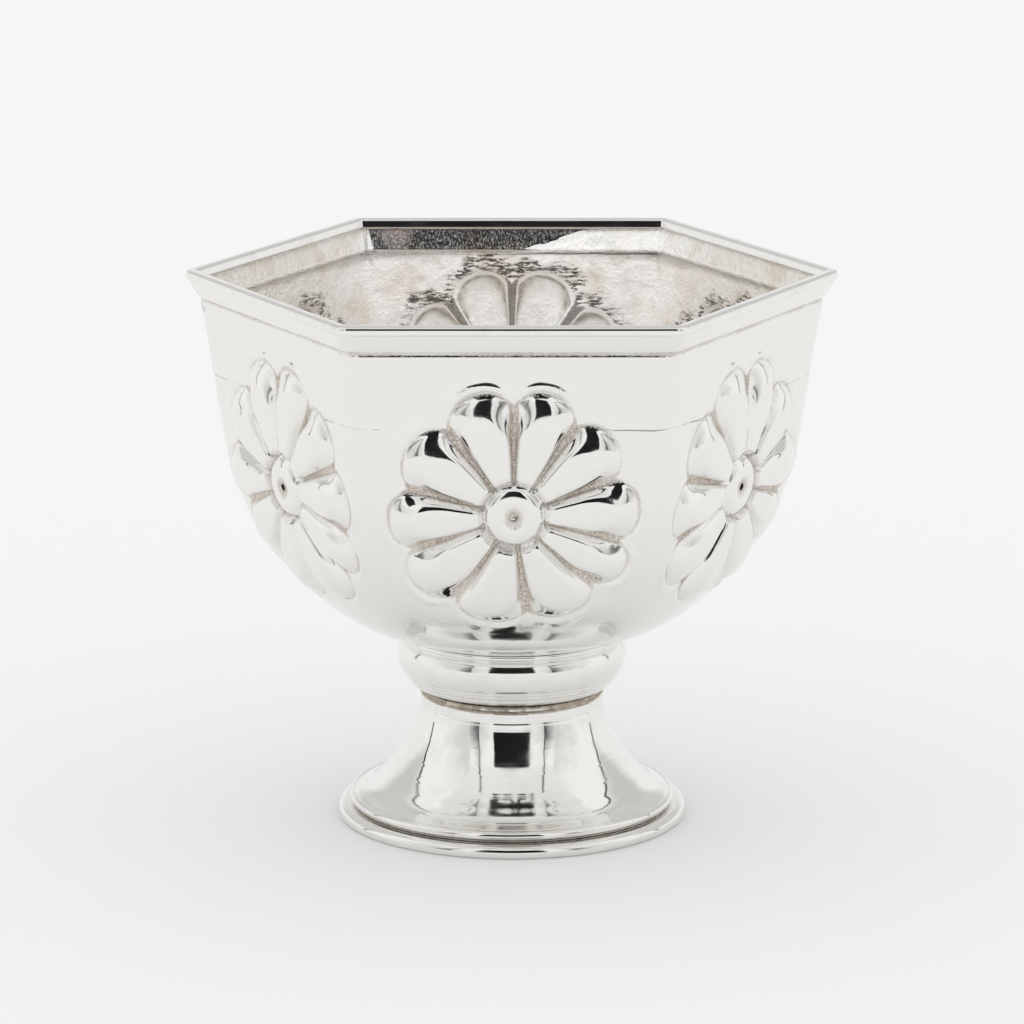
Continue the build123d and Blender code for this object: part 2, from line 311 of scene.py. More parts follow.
class Rosette:
    """A rosette in polar terms about its boss: petals that widen outwards between grooves."""

    def __init__(self, sizes):
        self.sizes = sizes
        self.petal_turn = TURN / sizes.petals
        widest = 0.8 * sizes.radius
        self.half = self.petal_turn / 2 - sizes.groove / 2 / widest

    def offset(self, angle):
        """Angle from the middle of the nearest petal; grooves stand at a quarter turn."""
        local = (angle - pi / 2) % self.petal_turn
        return local - self.petal_turn / 2

    def outline(self, angle):
        """Distance from the boss to the scalloped edge: a full radius less a power of the offset."""
        away = np.abs(self.offset(angle)) / (self.petal_turn / 2)
        return self.sizes.radius - self.sizes.notch * away**2.6

    def relief(self, angle, out, soft):
        """Height over the wall: flat-topped pillows that drop at their edges, a dome, a dent."""
        sizes = self.sizes
        away = np.clip(np.abs(self.offset(angle)) / self.half, 0, 1)
        reach = out / (self.outline(angle) + 0.5 * MM * soft)
        end = np.clip((reach - 0.75) / 0.25, 0, 1)
        tipped = smooth_step(0.60, 0.86, reach)
        rise = 0.80 + 0.20 * smooth_step(sizes.boss_radius, 0.8 * sizes.radius, out)
        root = smooth_step(sizes.boss_radius + 0.1 * MM, sizes.boss_radius + 0.6 * MM, out)
        squareness = 6.5 - 4.5 * tipped - 2.2 * soft * (1 - tipped)
        flank = (1 - away**squareness) ** (0.52 + 0.36 * tipped)
        tip = (1 - end**2) ** 0.78
        petal = sizes.petal_relief * rise * root * flank * tip
        near = np.clip(out / sizes.boss_radius, 0, 1)
        boss = sizes.boss_relief * (1 - near**4.6) ** 0.62
        pit = sizes.dimple_depth * np.exp(-((out / sizes.dimple_radius) ** 3))
        return petal + boss - (1 - soft) * pit

    def groove(self, angle, out):
        """Share from 0 to 1 of chased groove: between petals, round them and round the boss."""
        sizes = self.sizes
        away = np.abs(self.offset(angle))
        across = (self.petal_turn / 2 - away) * out
        width = (self.petal_turn / 2 - self.half) * out
        between = 1 - smooth_step(0.7, 1.25, across / width)
        edge = self.outline(angle)
        inside = smooth_step(sizes.boss_radius, sizes.boss_radius + 0.5 * MM, out)
        ends = 1 - smooth_step(0, 0.9 * MM, out - edge)
        round_edge = np.exp(-(((out - edge - 0.10 * MM) / (0.24 * MM)) ** 2))
        round_boss = np.exp(-(((out - sizes.boss_radius - 0.22 * MM) / (0.36 * MM)) ** 2))
        dent = np.exp(-((out / sizes.dimple_radius) ** 4))
        masks = (between * inside * ends, 0.66 * round_edge, 0.92 * round_boss, 0.90 * dent)
        return np.clip(np.max(np.broadcast_arrays(*masks), axis=0), 0, 1)

    def halo(self, angle, out):
        """Low swell of the wall just outside each petal's tip, raised by the chasing."""
        beyond = out - self.outline(angle)
        away = np.abs(self.offset(angle)) / (self.petal_turn / 2)
        swell = np.exp(-(((beyond - 0.85 * MM) / (0.42 * MM)) ** 2)) * (beyond > 0)
        return swell * (1 - smooth_step(0.55, 0.95, away))


# Mesh building


def grid_faces(rows, columns, closed):
    """Quads of a grid of rows by columns; closed joins the last column to the first."""
    across = columns if closed else columns - 1
    i, j = np.meshgrid(np.arange(rows - 1), np.arange(across), indexing="ij")
    k = (j + 1) % columns
    quads = [i * columns + j, i * columns + k, (i + 1) * columns + k, (i + 1) * columns + j]
    return np.stack(quads, -1).reshape(-1, 4)


def new_mesh(name, points, faces, metals, masks=None, indices=None):
    """Smooth-shaded object from points and faces, with its metals and its named masks."""
    mesh = bpy.data.meshes.new(name)
    mesh.from_pydata(points.tolist(), [], [list(f) for f in faces])
    for metal in metals:
        mesh.materials.append(bpy.data.materials[metal])
    if indices is not None:
        mesh.polygons.foreach_set("material_index", np.asarray(indices, dtype=np.int32))
    mesh.polygons.foreach_set("use_smooth", [True] * len(mesh.polygons))
    for label, values in (masks or {}).items():
        layer = mesh.attributes.new(label, "FLOAT", "POINT")
        layer.data.foreach_set("value", np.asarray(values, dtype=np.float32).ravel())
    mesh.update()
    piece = bpy.data.objects.new(name, mesh)
    bpy.context.scene.collection.objects.link(piece)
    return piece


def weld(piece, distance):
    """Merge the doubled points along seams."""
    shape = bmesh.new()
    shape.from_mesh(piece.data)
    seams = {vert for edge in shape.edges if edge.is_boundary for vert in edge.verts}
    bmesh.ops.remove_doubles(shape, verts=list(seams), dist=distance)
    shape.to_mesh(piece.data)
    shape.free()
    piece.data.update()


def face_outwards(piece):
    """Turn all faces of a closed mesh outwards, and stop if it has open edges."""
    shape = bmesh.new()
    shape.from_mesh(piece.data)
    bmesh.ops.recalc_face_normals(shape, faces=shape.faces)
    open_edges = sum(len(edge.link_faces) != 2 for edge in shape.edges)
    shape.to_mesh(piece.data)
    shape.free()
    if open_edges:
        raise RuntimeError(f"{piece.name} has {open_edges} open edges")


def seat(piece, node):
    """Let a finished piece stand for its solid and ride on the one body."""
    face_outwards(piece)
    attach(piece, "root")
    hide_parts(node)


def lathe(name, profile, segments, metal, wobble, seed):
    """Closed outline of (radius, height) turned about the upright axis, a little uneven."""
    outline = np.asarray(profile)
    angle = np.linspace(0, TURN, segments, endpoint=False)
    radius = outline[None, :, 0] * np.ones((segments, 1))
    level = outline[None, :, 1] * np.ones((segments, 1))
    points = np.stack(
        [radius * np.cos(angle)[:, None], radius * np.sin(angle)[:, None], level], -1
    )
    noise = value_noise(points, 3.2 * MM, seed)
    direction = points * (1, 1, 0)
    direction /= np.linalg.norm(direction, axis=-1, keepdims=True)
    points = points + direction * (wobble * noise)[..., None]
    faces = lathe_faces(segments, len(outline))
    return new_mesh(name, points.reshape(-1, 3), faces, [metal])


def lathe_faces(segments, count):
    """Quads of a ring whose closed outline has count points, facing outwards."""
    i, j = np.meshgrid(np.arange(segments), np.arange(count), indexing="ij")
    n, k = (i + 1) % segments, (j + 1) % count
    quads = [i * count + j, n * count + j, n * count + k, i * count + k]
    return np.stack(quads, -1).reshape(-1, 4)


def curve(points, count):
    """Smooth curve through points, by their distance along it."""
    points = np.asarray(points, dtype=float)
    gaps = np.linalg.norm(np.diff(points, axis=0), axis=1)
    knots = np.concatenate([[0], np.cumsum(gaps)])
    along = np.linspace(0, knots[-1], count)
    return np.stack([smooth_between(along, knots, points[:, axis]) for axis in (0, 1)], -1)


def turned_lines(profile, levels, depth, width):
    """Fine grooves cut into a profile at some levels, as a lathe tool leaves them."""
    cut = sum(np.exp(-(((profile[:, 1] - level) / width) ** 2)) for level in levels)
    return profile - np.stack([depth * cut, 0 * cut], -1)


def moved_in(profile, wall):
    """Profile moved in by the wall, at right angles to its own run."""
    run = np.gradient(profile, axis=0)
    run /= np.linalg.norm(run, axis=1, keepdims=True)
    return profile + wall * np.stack([run[:, 1], -run[:, 0]], -1)


# Body


def body_rays(rosette, face_map):
    """Angles of the rays in the rosette, and the points where they end on the face's edge.

    The rays of a petal lie closer together at its grooves. Where they leave the rosette
    they lean so that four of them end in the corners of the face.
    """
    share = np.linspace(-1, 1, RAYS_PER_PETAL, endpoint=False)
    lean = np.sign(share) * (1 - (1 - np.abs(share)) ** 1.35) * rosette.petal_turn / 2
    middles = pi / 2 + rosette.petal_turn * (np.arange(rosette.sizes.petals) + 0.5)
    angles = (middles[:, None] + lean[None, :]).ravel()
    low, high = face_map.low, face_map.high
    wide_low = face_map.half_width(np.array([low]))[0]
    wide_high = face_map.half_width(np.array([high]))[0]
    top_left = atan2(high, -wide_high)
    bottom_left = atan2(low, -wide_low) % TURN
    wanted = [top_left, bottom_left, 3 * pi - bottom_left, 3 * pi - top_left]
    marks = [int(np.argmin(np.abs(angles - turn))) for turn in wanted]
    marks[2], marks[3] = len(angles) - marks[1], len(angles) - marks[0]
    knots = [pi / 2, *angles[marks], pi / 2 + TURN]
    ends = np.interp(angles, knots, [pi / 2, *wanted, pi / 2 + TURN])
    near, far = np.zeros_like(ends), np.full_like(ends, 60 * MM)
    for _ in range(HALVINGS):
        middle = (near + far) / 2
        across, along = middle * np.cos(ends), middle * np.sin(ends)
        wide = face_map.half_width(np.clip(along, low, high))
        inside = (np.abs(across) <= wide) & (along >= low) & (along <= high)
        near, far = np.where(inside, middle, near), np.where(inside, far, middle)
    across, along = near * np.cos(ends), near * np.sin(ends)
    number = np.arange(len(angles))
    on_top = (number <= marks[0]) | (number >= marks[3])
    on_bottom = (number >= marks[1]) & (number <= marks[2])
    on_side = ~(on_top | on_bottom)
    on_side[marks] = True
    along = np.where(on_top, high, np.where(on_bottom, low, along))
    across = np.where(on_side, np.sign(across) * face_map.half_width(along), across)
    return angles, across, along, marks


def hand_turns(rosette):
    """Angles where the chaser really set the grooves, against even ones."""
    even = pi / 2 + rosette.petal_turn * np.arange(rosette.sizes.petals + 1)
    places = np.linspace(0, 1, len(GROOVE_TURNS))
    return even, np.radians(np.interp(np.linspace(0, 1, len(even)), places, GROOVE_TURNS))


def face_grid(rosette, rays, rings, setting):
    """Sideways and upward lengths of the points of one face, ring by ring from the boss."""
    wide, high, right, up = setting
    angles, edge_across, edge_along, _ = rays
    even, real = hand_turns(rosette)
    boss_rings, petal_rings, field_rings = rings
    turned = np.interp(angles, even, real)
    tip = rosette.outline(angles)
    boss = rosette.sizes.boss_radius
    first = np.linspace(0, 1, boss_rings + 1)[1:, None] * boss
    second = boss + np.linspace(0, 1, petal_rings + 1)[1:, None] * (tip - boss)
    out = np.concatenate([first * np.ones_like(tip), second])
    across = right * MM + wide * out * np.cos(turned)
    along = up * MM + high * out * np.sin(turned)
    share = (np.linspace(0, 1, field_rings + 1)[1:, None]) ** 1.5
    field_across = across[-1] + share * (edge_across - across[-1])
    field_along = along[-1] + share * (edge_along - along[-1])
    return np.concatenate([across, field_across]), np.concatenate([along, field_along])


def chased_height(rosette, across, along, soft, setting):
    """Height over the plain wall, and the masks of the grooves and of the field.

    Outside, the field mask covers the plain wall; inside it fades out round the rosette.
    """
    wide, high, right, up = setting
    across, along = (across - right * MM) / wide, (along - up * MM) / high
    even, real = hand_turns(rosette)
    angle = np.arctan2(along, across)
    angle = (angle - real[0]) % TURN + real[0]
    angle = np.interp(angle, real, even)
    out = np.hypot(across, along)
    height = rosette.relief(angle, out, soft)
    groove = rosette.groove(angle, out)
    beyond = out - rosette.outline(angle)
    field = smooth_step(-0.1 * MM, 0.3 * MM, beyond)
    if soft:
        field = field * np.exp(-((beyond / (2.4 * MM)) ** 2))
    swell = rosette.halo(angle, out)
    height += (0.24 * swell - 0.16 * groove) * (1 - soft) * MM
    return height, groove, field


def turn_about_axis(points, number):
    """Points of the -Y face turned to one of the six faces."""
    angle = number * SIXTH
    spin = np.array([[cos(angle), sin(angle), 0], [-sin(angle), cos(angle), 0], [0, 0, 1]])
    return points @ spin


class ShellParts:
    """Collects points, faces, material numbers and masks of one closed mesh."""

    def __init__(self):
        self.points, self.faces, self.indices = [], [], []
        self.patina, self.field = [], []
        self.count = 0

    def add(self, points, faces, index, patina, field):
        flat = points.reshape(-1, 3)
        self.points.append(flat)
        self.faces += [tuple(int(n) + self.count for n in face) for face in faces]
        self.indices += [index] * len(faces)
        self.patina.append(np.broadcast_to(patina, points.shape[:-1]).ravel())
        self.field.append(np.broadcast_to(field, points.shape[:-1]).ravel())
        self.count += len(flat)


def closed_fan(parts, rim, centre, index):
    """Sixth of a disc, from the points on its edge to its centre, with rings between."""
    share = np.array([1, 0.75, 0.5, 0.25])[:, None, None]
    rows = (centre + share * (rim - centre)).reshape(-1, 3)
    wide = len(rim)
    faces = grid_faces(4, wide, False).tolist()
    faces += [(3 * wide + k, 3 * wide + k + 1, len(rows)) for k in range(wide - 1)]
    parts.add(np.concatenate([rows, centre[None]]), faces, index, 0, 1)


def lip_rows(sizes):
    """Rows of the lip from the wall outside to the wall inside.

    Each row has its level, how far it lies in from the sheet's outer side, and its patina.
    Inside, the lip is one straight slope from just under the outer bend up to the edge.
    """
    bend = BODY_HIGH.z - sizes.lip_height
    top = BODY_HIGH.z
    cut = sizes.lip_groove
    outside = [
        (bend - 0.34 * MM, 0, 0), (bend - 0.22 * MM, 0.35 * cut, 0.35),
        (bend - 0.10 * MM, 0.9 * cut, 0.62), (bend + 0.04 * MM, cut, 0.74),
        (bend + 0.18 * MM, 0.8 * cut, 0.60), (bend + 0.30 * MM, 0.3 * cut, 0.40),
        (bend + 0.42 * MM, 0, 0.1), (bend + 0.9 * MM, 0, 0), (bend + 1.3 * MM, 0, 0),
        (bend + 1.8 * MM, 0, 0), (top - 0.35 * MM, 0, 0), (top - 0.12 * MM, 0, 0.05),
        (top, 0, 0.1),
    ]
    low = bend - 0.5 * MM
    levels = np.concatenate([[top, top - 0.04 * MM], np.linspace(top - 0.28 * MM, low, 7)])
    foot_reach = station(sizes, np.array([low]))[0][0]
    reach = np.interp(levels, [low, top], [foot_reach, sizes.bend_reach + sizes.lip_flare])
    plain = station(sizes, np.minimum(levels, bend))[0]
    plain = plain + np.maximum(levels - bend, 0) / sizes.lip_height * sizes.lip_flare
    inside = [(level, depth, 0) for level, depth in zip(levels, sizes.sheet + plain - reach)]
    return outside, inside


def lip_points(sizes, face_map, across, rows):
    """Points of the lip's rows over the top edge of one face."""
    bend = BODY_HIGH.z - sizes.lip_height
    _, corner, side = station(sizes, np.array([bend]))
    edge_reach = face_map.half_width(np.array([face_map.high]))[0] * 2
    found = []
    for level, depth, _ in rows:
        climb = max((level - bend) / sizes.lip_height, 0)
        reach = station(sizes, np.array([min(level, bend)]))[0][0] + climb * sizes.lip_flare
        round_corner = corner[0] + climb * (MOUTH_CORNER * reach - corner[0])
        row_across = across * (reach - depth) / edge_reach
        distance = section_depth(
            row_across, reach - depth, max(round_corner - depth, 0.2 * MM), side[0] - depth
        )
        found.append(np.stack([row_across, -distance, np.full_like(across, level)], -1))
    return np.array(found)


def body_parts(sizes, rosette_sizes):
    """All six faces of the body, outside and inside, with lip, floor and flat bottom.

    The groove mask is 1 along the grooves, and inside it falls below 0 with a hollow's depth.
    """
    face_map = FaceMap(sizes, rosette_sizes)
    rosette = Rosette(rosette_sizes)
    rays = body_rays(rosette, face_map)
    marks = rays[3]
    count = len(rays[0])
    top = np.concatenate([np.arange(marks[3], count), np.arange(0, marks[0] + 1)])
    bottom = np.arange(marks[1], marks[2] + 1)
    outside, inside = lip_rows(sizes)
    parts = ShellParts()
    for number in range(FACES):
        edges = []
        for soft, rings in ((0, RINGS_OUTSIDE), (1, RINGS_INSIDE)):
            setting = ROSETTE_SETTINGS[number]
            middle = np.array([setting[2] * MM]), np.array([setting[3] * MM])
            across, along = face_grid(rosette, rays, rings, setting)
            height, groove, field = chased_height(rosette, across, along, soft, setting)
            base = face_map.point(across, along)
            normal = face_map.normal(across, along)
            free = smooth_step(0, 4 * MM, along - face_map.low)
            free = free * smooth_step(0, 1.5 * MM, face_map.high - along)
            world = turn_about_axis(base, number)
            ripple = value_noise(world, 7 * MM, 3) + 0.4 * value_noise(world, 3 * MM, 4)
            ripple = ripple * free * (0.035 + 0.07 * soft) * MM
            edge_free = 1 if soft == 0 else smooth_step(0, 1.5 * MM, along - face_map.low)
            moved = base + normal * ((height * edge_free + ripple) - soft * sizes.sheet)[..., None]
            if soft:
                moved[..., 2] = np.maximum(moved[..., 2], BODY_LOW.z + sizes.sheet)
            moved = turn_about_axis(moved, number)
            lift = chased_height(rosette, *middle, soft, setting)[0] - soft * sizes.sheet
            centre = face_map.point(*middle) + face_map.normal(*middle) * lift[:, None]
            centre = turn_about_axis(centre, number)
            points = np.concatenate([moved.reshape(-1, 3), centre])
            faces = grid_faces(len(across), count, True).tolist()
            faces += [(k, (k + 1) % count, len(points) - 1) for k in range(count)]
            # Inside, the mask falls with the hollow's depth; the material paints shade round the
            # hollows' edges and a highlight in their middles from it
            groove = groove - soft * np.clip(height / rosette.sizes.petal_relief, 0, 1)
            masks = [np.append(mask.ravel(), 0) for mask in (groove, field)]
            parts.add(points, faces, soft, *masks)
            edges.append((moved[-1][top], moved[-1][bottom]))
        (outer_top, outer_bottom), (inner_top, inner_bottom) = edges
        across = rays[1][top]
        for start, rows, finish, index in (
            (outer_top, outside, None, 0), (None, inside, inner_top, 1)
        ):
            made = turn_about_axis(lip_points(sizes, face_map, across, rows), number)
            patina = [row[2] for row in rows]
            if start is not None:
                made, patina = np.concatenate([start[None], made]), [0, *patina]
            if finish is not None:
                made, patina = np.concatenate([made, finish[None]]), [*patina, 0]
            masks = np.array(patina)[:, None] * np.ones(len(top))
            parts.add(made, grid_faces(len(made), len(top), False), index, masks, 1 - index)
            if index == 0:
                last_row = made[-1]
            else:
                bridge = np.stack([last_row, made[0]])
                parts.add(bridge, grid_faces(2, len(top), False), 1, 0, 0)
        closed_fan(parts, outer_bottom, np.array([0, 0, BODY_LOW.z]), 0)
        floor = np.array([0, 0, inner_bottom[:, 2].mean()])
        closed_fan(parts, inner_bottom, floor, 1)
    return parts


class BOWL_OT_body(bpy.types.Operator):
    """Chased hexagonal body.

    Each face is a grid of rings and rays about its boss. A point lies at a sideways length
    and a length up the face's middle line, where the section is a side arc between two
    corner arcs. It moves along the wall's normal by the relief of the petals and the boss.
    """
    bl_idname = "bowl.body"
    bl_label = "Body"

    def execute(self, context):
        scene = context.scene
        parts = body_parts(scene.bowl_sizes, scene.rosette_sizes)
        # Inside, the patina mask carries the hollows' depth, for their painted shade and painted
        # highlight
        masks = {"patina": np.concatenate(parts.patina), "field": np.concatenate(parts.field)}
        piece = new_mesh(
            "Bowl_Body", np.concatenate(parts.points), parts.faces,
            ["Polished silver", "Pickled silver"], masks, parts.indices,
        )
        weld(piece, 0.02 * MM)
        seat(piece, "bowl_body")
        return {"FINISHED"}


# Rim, collar, foot, ring and solder


def hexagon_path(reach, corner, side, side_count, corner_count):
    """Points and outward normals round a hexagon of side arcs and corner arcs."""
    centre = reach - corner
    sweep = np.arcsin((centre / 2) / (side - corner))
    middle = centre * COS_HALF - sqrt((side - corner) ** 2 - (centre / 2) ** 2)
    on_side = np.linspace(-sweep, sweep, side_count, endpoint=False)
    half_corner = HALF_SIXTH - sweep
    on_corner = np.linspace(-half_corner, half_corner, corner_count, endpoint=False)
    points, normals = [], []
    for number in range(FACES):
        side_turn = number * SIXTH + HALF_SIXTH
        for turns, radius, hub, hub_turn in (
            (on_corner + number * SIXTH, corner, centre, number * SIXTH),
            (on_side + side_turn, side, middle, side_turn),
        ):
            normal = np.stack([np.cos(turns), np.sin(turns)], -1)
            hub_at = hub * np.array([cos(hub_turn), sin(hub_turn)])
            points.append(hub_at + radius * normal)
            normals.append(normal)
    return np.concatenate(points), np.concatenate(normals)


class BOWL_OT_rim(bpy.types.Operator):
    """Wire round the mouth.

    The path is a hexagon of side arcs and corner arcs. At each of its points stands the same
    outline: a flat underside, an upright outer flank, a rounded top and an inner flank that
    slopes on from the lip, laid in from the path along the path's own normal.
    """
    bl_idname = "bowl.rim"
    bl_label = "Rim wire"

    def execute(self, context):
        sizes = context.scene.bowl_sizes
        reach = RIM_HIGH.x
        corner = MOUTH_CORNER * (sizes.bend_reach + sizes.lip_flare)
        corner += reach - sizes.bend_reach - sizes.lip_flare
        path, normals = hexagon_path(reach, corner, MOUTH_SIDE * sizes.bend_reach, 40, 12)
        width, tall = sizes.rim_width, RIM_HIGH.z - RIM_LOW.z
        top = curve([
            (0.03 * MM, 0.30 * tall), (0, 0.50 * tall), (0.05 * MM, 0.76 * tall),
            (0.22 * MM, 0.94 * tall), (0.50 * MM, tall), (1.10 * MM, tall),
            (1.36 * MM, 0.93 * tall), (1.47 * MM, 0.78 * tall),
        ], 22)
        flank = np.linspace(top[-1], (width - 0.04 * MM, 0.12 * MM), 7)[1:]
        outline = np.concatenate([
            [(0.16 * MM, 0), (0.05 * MM, 0.12 * MM)], top, flank,
            [(width - 0.05 * MM, 0.05 * MM), (width - 0.16 * MM, 0)],
        ])
        flat = path[:, None, :] - normals[:, None, :] * outline[None, :, :1]
        level = RIM_LOW.z + np.broadcast_to(outline[None, :, 1:], (*flat.shape[:2], 1))
        points = np.concatenate([flat, level], -1)
        wave = value_noise(points, 6 * MM, 8)[..., None] * 0.02 * MM
        points[..., :2] -= (0.02 * MM + wave) * normals[:, None, :]
        faces = lathe_faces(len(path), len(outline))
        piece = new_mesh("Rim_Wire", points.reshape(-1, 3), faces, ["Rim silver"])
        seat(piece, "rim_wire")
        return {"FINISHED"}


class BOWL_OT_collar(bpy.types.Operator):
    """Cushion collar: one closed outline, with its bead, groove and turned lines, spun round."""
    bl_idname = "bowl.collar"
    bl_label = "Collar"

    def execute(self, context):
        low, high = COLLAR_LOW.z, COLLAR_HIGH.z
        tall, wide = high - low, COLLAR_HIGH.x - 0.03 * MM
        bead = curve([
            (13.70 * MM, high), (13.93 * MM, high - 0.12 * MM), (13.98 * MM, high - 0.32 * MM),
            (13.90 * MM, high - 0.54 * MM), (13.62 * MM, high - 0.72 * MM),
        ], 14)
        cushion = curve([
            (13.60 * MM, high - 0.86 * MM), (13.86 * MM, high - 1.15 * MM),
            (wide, low + 0.74 * tall), (0.998 * wide, low + 0.61 * tall),
            (0.965 * wide, low + 0.425 * tall), (0.93 * wide, low + 0.325 * tall),
            (0.873 * wide, low + 0.19 * tall), (11.35 * MM, low + 0.95 * MM),
        ], 90)
        lines = [low + height * MM for height in (2.05, 2.62, 3.02)]
        cushion = turned_lines(cushion, lines, 0.09 * MM, 0.085 * MM)
        cushion = turned_lines(cushion, [low + 5.35 * MM], 0.04 * MM, 0.07 * MM)
        neck = np.array([(11.08 * MM, low + 0.6 * MM), (11.0 * MM, low + 0.3 * MM), (11.0 * MM, low)])
        inner = np.array([
            (10.0 * MM, low), (10.05 * MM, low + 0.7 * MM), (11.5 * MM, low + 2.0 * MM),
            (12.6 * MM, low + 3.6 * MM), (13.0 * MM, low + 5.5 * MM), (12.9 * MM, high),
        ])
        outline = np.concatenate([bead, cushion, neck, inner])
        piece = lathe("Collar", outline, 256, "Collar silver", 0.012 * MM, 5)
        seat(piece, "collar")
        return {"FINISHED"}


class BOWL_OT_foot(bpy.types.Operator):
    """Spun trumpet: a curve from the neck out to a beaded edge, doubled by its own sheet."""
    bl_idname = "bowl.foot"
    bl_label = "Foot"

    def execute(self, context):
        low, high, edge = FOOT_LOW.z, FOOT_HIGH.z, FOOT_HIGH.x
        tall = high - low
        flare, neck = 8.05 * MM, 11.25 * MM
        places = (
            (0, 1), (0.004, 0.93), (0.04, 0.80), (0.21, 0.57), (0.40, 0.40), (0.624, 0.24),
            (0.847, 0.12), (1, 0.085),
        )
        trumpet = curve([(neck + out * flare, low + up * tall) for out, up in places], 120)
        lines = [low + height * MM for height in (12.35, 11.2, 9.1, 6.4, 4.6)]
        trumpet = turned_lines(trumpet, lines[:1], 0.05 * MM, 0.07 * MM)
        trumpet = turned_lines(trumpet, lines[1:], 0.008 * MM, 0.12 * MM)
        bead = curve([
            (19.42 * MM, low + 1.02 * MM), (19.55 * MM, low + 1.07 * MM),
            (19.85 * MM, low + 1.04 * MM), (20.15 * MM, low + 0.82 * MM),
            (edge - 0.01 * MM, low + 0.52 * MM), (20.15 * MM, low + 0.22 * MM),
            (19.85 * MM, low + 0.02 * MM), (19.6 * MM, low),
        ], 28)
        inner = moved_in(trumpet, 0.88 * MM)[8:-6:6][::-1]
        inner = np.concatenate([[(18.6 * MM, low)], inner, [(neck - 0.9 * MM, high)]])
        outline = np.concatenate([trumpet, bead, inner])
        outline[:, 1] = np.clip(outline[:, 1], low, high)
        piece = lathe("Foot", outline, 320, "Spun silver", 0.010 * MM, 6)
        seat(piece, "foot")
        return {"FINISHED"}


class BOWL_OT_ring(bpy.types.Operator):
    """Base ring: a bar with a rounded shoulder and a worn lower edge, spun round."""
    bl_idname = "bowl.ring"
    bl_label = "Base ring"

    def execute(self, context):
        low, high, edge = RING_LOW.z, RING_HIGH.z, RING_HIGH.x - 0.02 * MM
        outer = curve([
            (19.2 * MM, high), (20.2 * MM, high - 0.01 * MM), (edge - 0.75 * MM, high - 0.06 * MM),
            (edge - 0.30 * MM, high - 0.24 * MM), (edge - 0.06 * MM, high - 0.58 * MM),
            (edge, high - 0.95 * MM), (edge - 0.05 * MM, low + 0.28 * MM), (edge - 0.28 * MM, low),
        ], 60)
        inner = np.array([(18.75 * MM, low), (18.6 * MM, low + 0.15 * MM), (18.6 * MM, high)])
        outline = np.concatenate([outer, inner])
        outline[:, 1] = np.clip(outline[:, 1], low, high)
        piece = lathe("Base_Ring", outline, 320, "Ring silver", 0.012 * MM, 7)
        seat(piece, "foot_ring")
        return {"FINISHED"}


def rough_ring(name, metal, middle, hub, half_width, half_height, rough, seed):
    """Solder run: a flattened ring that waves up and down, moved in and out by noise."""
    turn = np.linspace(0, TURN, 28, endpoint=False)
    radius, level = hub + half_width * np.cos(turn), middle + half_height * np.sin(turn)
    angle = np.linspace(0, TURN, 720, endpoint=False)[:, None]
    ones = np.ones_like(angle)
    points = np.stack([radius * np.cos(angle), radius * np.sin(angle), level * ones], -1)
    grain = 0.6 * value_noise(points, 0.9 * MM, seed)
    grain = grain + 0.4 * value_noise(points, 0.4 * MM, seed + 1)
    hub_line = np.stack([hub * np.cos(angle), hub * np.sin(angle), middle * ones], -1)
    points = hub_line + (points - hub_line) * (1 - rough + rough * grain)[..., None]
    points[..., 2] += rough * half_height * value_noise(hub_line, 4 * MM, seed + 2)
    faces = lathe_faces(len(angle), len(turn))
    return new_mesh(name, points.reshape(-1, 3), faces, [metal])


class BOWL_OT_solder(bpy.types.Operator):
    """Solder runs: flattened rings whose radius at each point is scaled by two noises."""
    bl_idname = "bowl.solder"
    bl_label = "Solder"

    def execute(self, context):
        for name, node, metal, half_width, beyond, half_height, rough, seed in (
            ("Neck_Solder", "neck_solder", "Silver solder", 0.26, -0.06, 0.12, 0.42, 11),
            ("Ring_Solder", "foot_ring_solder", "Rubbed solder", 0.80, 0.25, 0.18, 0.10, 13),
        ):
            low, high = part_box(node)
            middle, half_width = (low.z + high.z) / 2, half_width * MM
            hub = high.x + beyond * MM - half_width
            piece = rough_ring(
                name, metal, middle, hub, half_width, half_height * MM, rough, seed
            )
            seat(piece, node)
        hidden_run = bpy.data.objects["bowl_solder"]
        hidden_run.data.materials.clear()
        hidden_run.data.materials.append(bpy.data.materials["Silver solder"])
        return {"FINISHED"}


# Materials


def feed(tree, node, values):
    """Set or link inputs of a node: a value is a number, a colour or another node's output."""
    for name, value in values.items():
        if isinstance(value, bpy.types.NodeSocket):
            tree.links.new(value, node.inputs[name])
        else:
            node.inputs[name].default_value = value


def add_node(tree, kind, *values, out=0, **settings):
    """Add a shader node with its settings and links, and give back one of its outputs.

    The values are its inputs in turn, or one dictionary of them by name or number. The
    output is told by number or name; with None the node itself is given back.
    """
    made = tree.nodes.new("ShaderNode" + kind)
    for name, value in settings.items():
        setattr(made, name, value)
    named = bool(values) and isinstance(values[0], dict)
    feed(tree, made, values[0] if named else dict(enumerate(values)))
    return made if out is None else made.outputs[out]


def new_metal(name):
    """Empty material with its shader and its Object coordinates."""
    material = bpy.data.materials.new(name)
    material.use_nodes = True
    tree = material.node_tree
    tree.nodes.clear()
    shader = add_node(tree, "BsdfPrincipled", {"Metallic": 1.0}, out=None)
    add_node(tree, "OutputMaterial", {"Surface": shader.outputs[0]}, out=None)
    return tree, shader, add_node(tree, "TexCoord", out="Object")


def sway(tree, noise, amount):
    """Noise turned into a shift to either side: half is taken off, then it is scaled."""
    shift = add_node(tree, "Math", noise, 0.5, operation="SUBTRACT")
    return add_node(tree, "Math", shift, amount, operation="MULTIPLY")


def stripe(tree, value, middle, inner, outer):
    """Mask that is 1 where a value lies within inner of the middle, and 0 beyond outer."""
    away = add_node(tree, "Math", value, middle, operation="SUBTRACT")
    away = add_node(tree, "Math", away, operation="ABSOLUTE")
    return add_node(tree, "MapRange", away, inner, outer, 1.0, 0.0)


